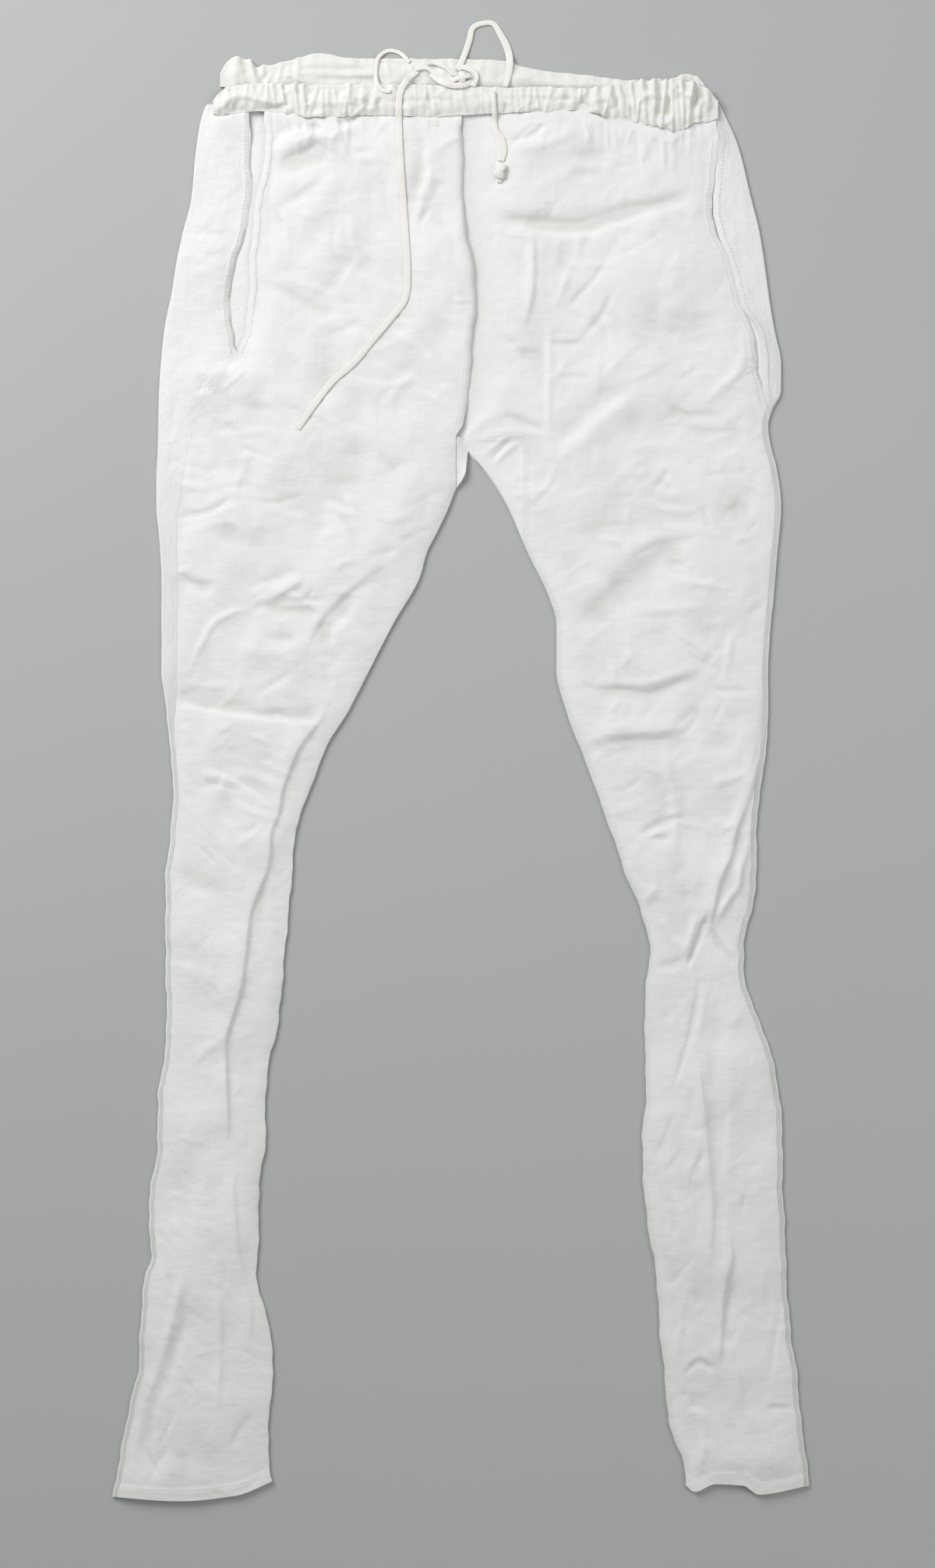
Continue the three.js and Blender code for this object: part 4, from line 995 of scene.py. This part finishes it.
def sweep(path, normal, wide, thick):
    """Rings of a rounded ribbon section, of 16 corners, along a path in space, flat to the given
    normals."""
    along = np.gradient(path, axis=0)
    along /= np.linalg.norm(along, axis=1)[:, None]
    across = np.cross(along, normal)
    across /= np.linalg.norm(across, axis=1)[:, None]
    upward = np.cross(across, along)
    angle = 2 * math.pi * (np.arange(16) + 0.5) / 16
    squared = [np.sign(s) * np.abs(s) ** 0.55 for s in (np.cos(angle), np.sin(angle))]
    squared[1] = squared[1] * (1 - 0.12 * np.cos(angle * 2))
    sideways, up = (s[None, :, None] * size[:, None, None] / 2 for s, size in zip(squared, (wide, thick)))
    return path[:, None] + across[:, None] * sideways + upward[:, None] * up


def tube_faces(rings):
    """Quads between the rings, and a fan of its rim at both ends."""
    count, sides = rings.shape[:2]
    at = np.arange(count * sides).reshape(count, sides)
    after = np.roll(at, -1, 1)
    quads = np.stack([at[:-1], after[:-1], after[1:], at[1:]], -1).reshape(-1, 4)
    return quads.tolist() + [at[0, ::-1].tolist(), at[-1].tolist()]


def facing_out(points, faces):
    """The faces, turned round if the volume they close comes out negative."""
    total = 0
    for face in faces:
        p = points[list(face)]
        total += sum(p[0] @ np.cross(p[i], p[i + 1]) for i in range(1, len(face) - 1))
    return faces if total > 0 else [list(face)[::-1] for face in faces]


def ribbons(name, parts):
    """One piece of tape from several swept ribbons, with the weave running along each."""
    points, faces, uv = [], [], []
    for rings in parts:
        flat = rings.reshape(-1, 3)
        first = sum(len(p) for p in points)
        faces += [[k + first for k in face] for face in facing_out(flat, tube_faces(rings))]
        run = np.r_[0, np.cumsum(np.linalg.norm(np.diff(rings.mean(1), axis=0), axis=1))]
        width = np.linalg.norm(rings[:, :1] - rings, axis=2)
        uv.append(np.stack(np.broadcast_arrays(width, run[:, None]), -1).reshape(-1, 2))
        points.append(flat)
    return new_piece(
        name, np.concatenate(points), faces, material_named("tape"), np.concatenate(uv)
    )


def flat_tape(route, sway=0.0):
    """A tape lying on the cloth: its centreline in the frame, and its rings."""
    path = curve_through(route)
    z = resting_height(path)
    centre = in_frame(path[:, 0], path[:, 1], z)
    roll = sway * np.sin(np.arange(len(path)) * 0.31)
    upward = np.stack([roll, 0 * roll, np.ones_like(roll)], 1)
    return centre, sweep(centre, upward, path[:, 2] * MM, path[:, 3] * MM)


def wrapped_knot(place, turns):
    """A knot of tape: each turn a loop round an ellipsoid, tilted, flat to its surface. place is x,
    down and height of the middle, and the half sizes. A turn is as in KNOTS, and its start and end
    are shares of the way round."""
    x, down, z, half = place
    middle = in_frame(x, down, z)
    parts = []
    for tilt, yaw, scale, wide, start, end in turns:
        t = np.linspace(start, end, 40) * 2 * math.pi
        ring = np.stack([np.sin(tilt) * np.cos(t), np.cos(t) * np.cos(tilt), np.sin(t)], 1)
        cos, sin = math.cos(yaw), math.sin(yaw)
        turned = np.array([[cos, -sin, 0], [sin, cos, 0], [0, 0, 1]])
        ring = ring @ turned.T * (np.array(half) * MM * scale)
        size = np.full((2, len(t)), ((wide * MM,), (KNOT_TAPE * MM,)))
        parts.append(sweep(middle + ring, ring, *size))
    return parts


def dashes(name, lines, pitch, length, wide):
    """Stitches: short rounded bars, each a ring of four corners at either end and two tips, set end to
    end along lines of x, down and height."""
    centre, way = [], []
    for line in lines:
        run = np.r_[0, np.cumsum(np.hypot(*np.diff(line[:, :2], axis=0).T))]
        at = np.arange(pitch / 2, run[-1], pitch)
        here, ahead, behind = (
            in_frame(*(np.interp(at + step, run, line[:, k]) for k in range(3))) for step in (0, 1, -1)
        )
        centre.append(here)
        way.append((ahead - behind) / np.linalg.norm(ahead - behind, axis=1)[:, None])
    centre, way = np.concatenate(centre), np.concatenate(way)
    across = np.cross(way, (0, 0, 1.0))
    upward = np.cross(across, way)
    half_long, half_wide, high = length * MM / 2, wide * MM / 2, wide * MM * 0.4
    corners = [(-1, 0, -0.5)]
    for end in (-0.72, 0.72):
        corners += [(end, 1, 0), (end, 0, 1), (end, -1, 0), (end, 0, -1)]
    corners += [(1, 0, -0.5)]
    made = np.stack(
        [centre + way * half_long * a + across * half_wide * b + upward * high * c for a, b, c in corners], 1
    )
    around = ((1, 2), (2, 3), (3, 4), (4, 1))
    one = [[0, a, b] for a, b in around] + [[9, b + 4, a + 4] for a, b in around]
    one += [[a, a + 4, b + 4, b] for a, b in around]
    one = facing_out(made[0] - made[0].mean(0), one)
    faces = [[v + 10 * i for v in face] for i in range(len(made)) for face in one]
    uv = np.tile(np.array([(a * 0.001, b * 0.0003) for a, b, c in corners]), (len(made), 1))
    return new_piece(name, made.reshape(-1, 3), faces, material_named("thread"), uv)


def add(tree, kind, links=None, **settings):
    """A shader node with its settings, and its inputs by name or number: sockets are linked and
    values are set."""
    made = tree.nodes.new("ShaderNode" + kind)
    for key, value in settings.items():
        setattr(made, key, value)
    for key, value in (links or {}).items():
        if isinstance(value, bpy.types.NodeSocket):
            tree.links.new(value, made.inputs[key])
        else:
            made.inputs[key].default_value = value
    return made


def maths(tree, operation, *values):
    """The result of one Math node."""
    return add(tree, "Math", dict(enumerate(values)), operation=operation).outputs[0]


def sums(tree):
    """Functions that multiply, multiply and add, and add."""
    return [partial(maths, tree, kind) for kind in ("MULTIPLY", "MULTIPLY_ADD", "ADD")]


def ramp_of(tree, value, low, high):
    """0 up to low, 1 from high, and a soft S between them, as a shader node."""
    limits = {"Value": value, "From Min": low, "From Max": high}
    return add(tree, "MapRange", limits, interpolation_type="SMOOTHSTEP").outputs[0]


def noise(tree, vector, scale, detail=2.0):
    """A noise at so many features a metre along each axis, about 0.5 on average."""
    spread = add(tree, "Mapping", {"Vector": vector, "Scale": scale}).outputs[0]
    settings = {"Vector": spread, "Scale": 1.0, "Detail": detail, "Roughness": 0.55}
    return add(tree, "TexNoise", settings).outputs["Fac"]


def node_group(name, inputs, outputs):
    """An empty node group, its inputs to draw on and its outputs to link to."""
    group = bpy.data.node_groups.new(name, "ShaderNodeTree")
    for way, sockets in (("INPUT", inputs), ("OUTPUT", outputs)):
        for key, kind in sockets.items():
            group.interface.new_socket(key, in_out=way, socket_type="NodeSocket" + kind)
    ends = group.nodes.new("NodeGroupInput"), group.nodes.new("NodeGroupOutput")
    return group, ends[0].outputs[:-1], ends[1].inputs


def weave_group():
    """Plain weave: threads crossing over and under each other, thicker threads here and there, and
    short faint rumples. It gives heights in metres and a mask of the thick threads."""
    group, (cloth, threads, rumple), out = node_group(
        "Plain weave", {"Cloth": "Vector", "Threads": "Float", "Rumple": "Float"},
        {"Height": "Float", "Thick threads": "Float"},
    )
    times, scaled, added = sums(group)
    parts = add(group, "SeparateXYZ", {0: cloth})
    turns = times(threads, math.pi)
    waves = [maths(group, "SINE", times(parts.outputs[k], turns)) for k in (0, 1)]
    cross = times(*waves)
    slubs = [ramp_of(group, noise(group, cloth, at), 0.60, 0.74) for at in ((1100, 34, 1), (30, 1100, 1))]
    thick = added(*slubs)
    fine = added(*[noise(group, cloth, at, 1.0) for at in ((1500, 60, 1), (60, 1500, 1))])
    soft, wide = noise(group, cloth, (105, 150, 1), 5.0), noise(group, cloth, (45, 38, 1), 3.0)
    soft, wide = times(soft, 0.0007), times(wide, 0.0011)
    rumples = added(soft, wide)
    height = times(cross, 0.00004)
    for value, high in ((thick, 0.00004), (fine, 0.00006), (rumples, rumple)):
        height = scaled(value, high, height)
    group.links.new(height, out["Height"])
    group.links.new(thick, out["Thick threads"])
    return group


def tint_group():
    """The cloth's colour: painted shade in its hollows, darker and ivory there, and a little duller towards
    the hems, unevenly.
    """
    group, (ground, hollow, dull, depth, thick, place), out = node_group(
        "Linen tint and painted shade",
        {"Ground": "Color", "Hollow": "Color", "Dull": "Color", "Depth": "Float", "Thick threads": "Float",
         "Place": "Vector"},
        {"Color": "Color"},
    )
    times, scaled, added = sums(group)
    down = times(add(group, "SeparateXYZ", {0: place}).outputs["Y"], -1)
    low = ramp_of(group, down, -0.05, 0.57)
    patch = ramp_of(group, noise(group, place, (9, 7, 9), 3.0), 0.3, 0.75)
    blend = add(group, "MixRGB", {0: times(low, patch), 1: ground, 2: dull}).outputs[0]
    # Painted shade: the hollow colour, as far as the depth mark goes.
    blend = add(group, "MixRGB", {0: times(depth, 0.8), 1: blend, 2: hollow}).outputs[0]
    paler = scaled(thick, 0.025, 0.985)
    streaks = added(*[noise(group, place, at) for at in ((28, 330, 9), (330, 28, 9))])
    streaks = scaled(streaks, 0.045, 0.955)
    paler = times(paler, streaks)
    mottle = scaled(noise(group, place, (55, 45, 55), 4.0), 0.03, 0.985)
    value = times(paler, mottle)
    tinted = add(group, "HueSaturation", {"Value": value, "Color": blend})
    group.links.new(tinted.outputs[0], out["Color"])
    return group


def new_material(name):
    """An empty material and its node tree."""
    material = bpy.data.materials.new(name)
    material.use_nodes = True
    material.node_tree.nodes.clear()
    return material, material.node_tree


def cloth_material(name, ground, hollow, dull, threads, rumple, groups):
    """Linen or tape: the tint gives its colour, and the weave its bumps."""
    material, tree = new_material(name)
    places = add(tree, "TexCoord").outputs
    # The depth attribute is the mark of painted shade.
    depth = add(tree, "Attribute", attribute_name="depth").outputs["Fac"]
    weave = add(
        tree, "Group", {"Cloth": places["UV"], "Threads": threads, "Rumple": rumple},
        node_tree=groups["weave"],
    ).outputs
    tint = add(
        tree, "Group", {
            "Ground": (*ground, 1), "Hollow": (*hollow, 1), "Dull": (*dull, 1), "Depth": depth,
            "Thick threads": weave["Thick threads"], "Place": places["Object"],
        }, node_tree=groups["tint"],
    ).outputs
    bump = add(tree, "Bump", {"Height": weave["Height"], "Strength": 1.0, "Distance": 1.0}).outputs
    rough = maths(tree, "MULTIPLY_ADD", ramp_of(tree, weave["Thick threads"], 2.2, -0.6), 0.1, 0.82)
    shader = add(tree, "BsdfPrincipled", {
        "Base Color": tint[0], "Roughness": rough, "Normal": bump[0], "Specular IOR Level": 0.28,
        "Sheen Weight": 0.12, "Sheen Roughness": 0.5,
    })
    tree.links.new(shader.outputs[0], add(tree, "OutputMaterial").inputs[0])
    return material


def floor_material():
    """Pale matt board with a faint unevenness."""
    material, tree = new_material("Pale floor")
    grain = noise(tree, add(tree, "TexCoord").outputs["Object"], (3, 3, 3), 5.0)
    level = maths(tree, "MULTIPLY_ADD", grain, 0.03, 0.985)
    colour = add(tree, "HueSaturation", {"Value": level, "Color": (0.46, 0.465, 0.47, 1)})
    shader = add(tree, "BsdfPrincipled", {"Base Color": colour.outputs[0], "Roughness": 0.75})
    tree.links.new(shader.outputs[0], add(tree, "OutputMaterial").inputs[0])
    return material


class TrousersSizes(bpy.types.PropertyGroup):
    """What shapes the cloth and lights it."""

    puff: FloatProperty(
        name="Puff", description="How far the fronts stand off the backs", default=0.0034, subtype="DISTANCE"
    )
    creases: FloatProperty(name="Creases", description="Depth of the creases, as a factor", default=1.6)
    gathers: FloatProperty(name="Gathers", description="Depth of the gathers, as a factor", default=1.0)
    threads: FloatProperty(name="Threads", description="Threads of the weave a metre", default=1700)
    linen: FloatVectorProperty(
        name="Linen", description="Colour of the panels", default=(0.86, 0.862, 0.865), subtype="COLOR"
    )
    # The casings' colour is a little darker and warmer than the panels': partly their own tint, partly
    # painted shade, set against the stronger light near the waist and the shade among the gathers.
    casing: FloatVectorProperty(
        name="Casing", description="Colour of the casings", default=(0.83, 0.828, 0.81), subtype="COLOR"
    )
    tape: FloatVectorProperty(
        name="Tape", description="Colour of the drawstring", default=(0.88, 0.87, 0.83), subtype="COLOR"
    )
    key: FloatProperty(
        name="Key light", description="Power of the large soft light", default=36.5, unit="POWER"
    )
    fill: FloatProperty(name="Fill light", description="Strength of the light from all round", default=0.33)
    stitches: IntProperty(name="Stitches", description="Stitches in 10 cm of seam", default=32)


MATERIALS = {}


def material_named(name):
    """The part's materials, made once. Each row has its ground colour, its hollow colour, which is painted
    shade for the folds, its dull colour, its threads a metre and its rumples."""
    if not MATERIALS:
        sizes = bpy.context.scene.trousers
        groups = {"weave": weave_group(), "tint": tint_group()}
        linen, casing, tape = tuple(sizes.linen), tuple(sizes.casing), tuple(sizes.tape)
        # The hollow colours are painted shade, laid on by the depth mark.
        for key, title, *look in (
            ("linen", "Linen", linen, (0.755, 0.753, 0.738), (0.775, 0.775, 0.75), sizes.threads, 1.0),
            ("casing", "Casing linen", casing, (0.74, 0.725, 0.62), casing, sizes.threads, 0.6),
            ("tape", "Woven tape", tape, tape, tape, 2400, 0.1),
            ("thread", "Sewing thread", (0.87, 0.86, 0.82), (0.8, 0.8, 0.75), tape, 4000, 0.1),
        ):
            MATERIALS[key] = cloth_material(title, *look, groups)
    return MATERIALS[name]


class TROUSERS_OT_camera(bpy.types.Operator):
    """Add the camera, looking straight down"""

    bl_idname = "trousers.camera"
    bl_label = "Camera"

    def execute(self, context):
        data = bpy.data.cameras.new("Camera")
        data.lens, data.sensor_width = 85, 36
        camera = placed("Camera", data)
        camera.location = (0.0045 + SHIFT_X * MM, -0.0057, 2.85)  # over the middle of the cloth
        context.scene.camera = camera
        return {"FINISHED"}


class TROUSERS_OT_drawstring(bpy.types.Operator):
    """Add the tape: two free ends, two loops, the bow's knot and the knot on the short end"""

    bl_idname = "trousers.drawstring"
    bl_label = "Drawstring"

    def execute(self, context):
        knots = []
        for name, node, x, down, seat, half, turns, strands in KNOTS:
            z = float(cloth_top(*seat[:2])) + seat[2]
            parts = wrapped_knot((x, down, z, half), turns) + [flat_tape(*strand)[1] for strand in strands]
            knots.append(ribbons(name, parts))
            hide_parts(node)
        stretches = (
            ("Long_end", LONG_END, "drawstring_long_end", 0.313, 0.005, "bare", knots[:1]),
            ("Short_end", SHORT_END, "drawstring_short_end", 0.055, 0.005, "knot", knots[1:]),
            ("Small_loop", SMALL_LOOP, "drawstring_small_loop", 0.066, 0.003, "object", []),
            ("Large_loop", LARGE_LOOP, "drawstring_large_loop", 0.108, 0.0045, "object", []),
        )
        for name, route, node, length, width, far_end, pieces in stretches:
            centre, rings = flat_tape(route)
            piece = ribbons(name, [rings])
            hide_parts(node)
        return {"FINISHED"}


class TROUSERS_OT_backs(bpy.types.Operator):
    """Add the two backs, which lie on the surface and turn over at the sides"""

    bl_idname = "trousers.backs"
    bl_label = "Backs"

    def execute(self, context):
        for name, leg, area in (("back_right", RIGHT, 0.2), ("back_left", LEFT, 0.19)):
            make_back(name, leg)
        return {"FINISHED"}


def right_edge(down):
    """The right front's centre edge, down to the gusset, and its inseam."""
    low = np.minimum(centre_edge(down), np.where(down < CROTCH, np.inf, inner(RIGHT, down)))
    return low + (np.minimum(low, GUSSET_RIGHT - 0.3) - low) * ramp(down, CUT - 10, CUT)


def right_split(down):
    """Where the right front's finer columns begin, beside its rolled edge."""
    return right_edge(down) - 0.3 * (down < CUT + 0.5) - 60 * (1 - ramp(down, 150, CUT - 3))


def left_split(down):
    """The left front's seam with the gusset, and its inseam."""
    return np.maximum(GUSSET_LEFT + 0.06, np.where(down < CROTCH, 0, inner(LEFT, down)))


def left_edge(down):
    """The left front's centre edge, under the lap."""
    return np.minimum(centre_edge(down) - LAP, left_split(down))


class TROUSERS_OT_fronts(bpy.types.Operator):
    """Add the two fronts and the gusset"""

    bl_idname = "trousers.fronts"
    bl_label = "Fronts and gusset"

    def execute(self, context):
        for name, leg, edge, split, under, width, area in (
            ("front_right", RIGHT, right_edge, right_split, right_under, 0.26, 0.16),
            ("front_left", LEFT, left_edge, left_split, left_under, 0.27, 0.17),
        ):
            piece = make_front(name, leg, edge, split, under)
        make_gusset()
        return {"FINISHED"}


class TROUSERS_OT_casings(bpy.types.Operator):
    """Add the gathered casings round the waist"""

    bl_idname = "trousers.casings"
    bl_label = "Casings"

    def execute(self, context):
        for casing in CASINGS:
            make_casing(casing)
        return {"FINISHED"}


class TROUSERS_OT_stitching(bpy.types.Operator):
    """Add the stitches of the hems, slits, seams and bar tacks"""

    bl_idname = "trousers.stitching"
    bl_label = "Stitching"

    def execute(self, context):
        pitch = 100 / context.scene.trousers.stitches
        lap_inset, hem_inset, slit_inset, top_inset, side_inset = 5.5, 8.5, 4.6, 3.2, 3.4
        lines = []

        def on(under_of, x, down, lift=0.0):
            x, down = as_arrays(x, down)
            lines.append(np.stack([x, down, under_of(x, down) + CLOTH + 0.05 + lift], 1))

        down = np.linspace(62, 290, 200)
        on(right_under, centre_edge(down) - lap_inset, down)
        for leg, under, slit in ((RIGHT, right_under, (60, 232)), (LEFT, left_under, (66, 268))):
            side = leg["side"]
            share = np.linspace(0.03, 0.97, 80)
            hem = smooth(leg["hem"], "down", share)
            x = outer(leg, hem) + (inner(leg, hem) - outer(leg, hem)) * share
            on(under, x, hem - hem_inset, 0.75)
            down = np.linspace(*slit, 160)
            on(under, front_edge(leg, down) - side * slit_inset, down, 0.6)
            strip = partial(strip_under, leg)
            on(strip, strip_end(leg, down) + side * slit_inset, down, 0.6)
        on(left_under, GUSSET_LEFT + side_inset, np.linspace(GUSSET_TOP + 2, 372, 60))
        on(left_under, np.linspace(6, GUSSET_LEFT + 2, 40), GUSSET_TOP - top_inset)
        dashes("Stitches", lines, pitch, pitch * 0.72, 0.42)
        lines = []
        for start, end in ((53, 53.5), (55, 55.4), (57, 57)):
            on(right_under, np.linspace(-27, -18, 8), np.linspace(start, end, 8))
        for turn in (-1, 1):
            on(left_under, np.linspace(219, 227, 8), 244 + turn * np.linspace(-3.5, 3.5, 8))
        dashes("Bar_tacks", lines, 1.6, 1.9, 0.9)
        return {"FINISHED"}


class TROUSERS_OT_stage(bpy.types.Operator):
    """Add the pale floor and the soft light from the upper left"""

    bl_idname = "trousers.stage"
    bl_label = "Stage"

    def execute(self, context):
        sizes = context.scene.trousers
        mesh = bpy.data.meshes.new("Floor")
        reach, below = 20, 0.0003
        corners = [(x * reach, y * reach, -below) for x, y in ((-1, -1), (1, -1), (1, 1), (-1, 1))]
        mesh.from_pydata(corners, [], [(0, 1, 2, 3)])
        mesh.materials.append(floor_material())
        placed("Floor", mesh)
        for name, place, size, power in (
            ("Key", (-1.2, 1.36, 1.4), 1.2, sizes.key),
            ("Soft fill", (1.15, 0.05, 1.4), 1.4, sizes.key * 0.22),
        ):
            data = bpy.data.lights.new(name, "AREA")
            data.energy, data.size = power, size
            light = placed(name, data)
            light.location = place
            x, y, z = np.array((0, 0.12, 0)) - place
            light.rotation_euler = (math.atan2(math.hypot(x, y), -z), 0, math.atan2(-x, y))
        world = bpy.data.worlds.new("World")
        world.use_nodes = True
        backdrop = world.node_tree.nodes["Background"].inputs
        backdrop["Color"].default_value = (0.98, 0.98, 0.97, 1)
        backdrop["Strength"].default_value = sizes.fill
        context.scene.world = world
        context.scene.view_settings.view_transform = "Standard"
        return {"FINISHED"}


STEPS = (
    TROUSERS_OT_camera, TROUSERS_OT_drawstring, TROUSERS_OT_backs, TROUSERS_OT_fronts,
    TROUSERS_OT_casings, TROUSERS_OT_stitching, TROUSERS_OT_stage,
)


class TROUSERS_PT_panel(bpy.types.Panel):
    """Lists the sizes and the steps"""

    bl_idname = "TROUSERS_PT_panel"
    bl_label = "Trousers"
    bl_space_type = "VIEW_3D"
    bl_region_type = "UI"
    bl_category = "Trousers"

    def draw(self, context):
        for key in TrousersSizes.__annotations__:
            self.layout.prop(context.scene.trousers, key)
        for step in STEPS:
            self.layout.operator(step.bl_idname)


CLASSES = (TrousersSizes, *STEPS, TROUSERS_PT_panel)


def register():
    for cls in CLASSES:
        bpy.utils.register_class(cls)
    bpy.types.Scene.trousers = PointerProperty(type=TrousersSizes)


def unregister():
    del bpy.types.Scene.trousers
    for cls in reversed(CLASSES):
        bpy.utils.unregister_class(cls)


def main():
    register()
    bpy.ops.trousers.camera()
    bpy.ops.trousers.drawstring()
    bpy.ops.trousers.backs()
    bpy.ops.trousers.fronts()
    bpy.ops.trousers.casings()
    bpy.ops.trousers.stitching()
    bpy.ops.trousers.stage()


if __name__ == "__main__":
    main()
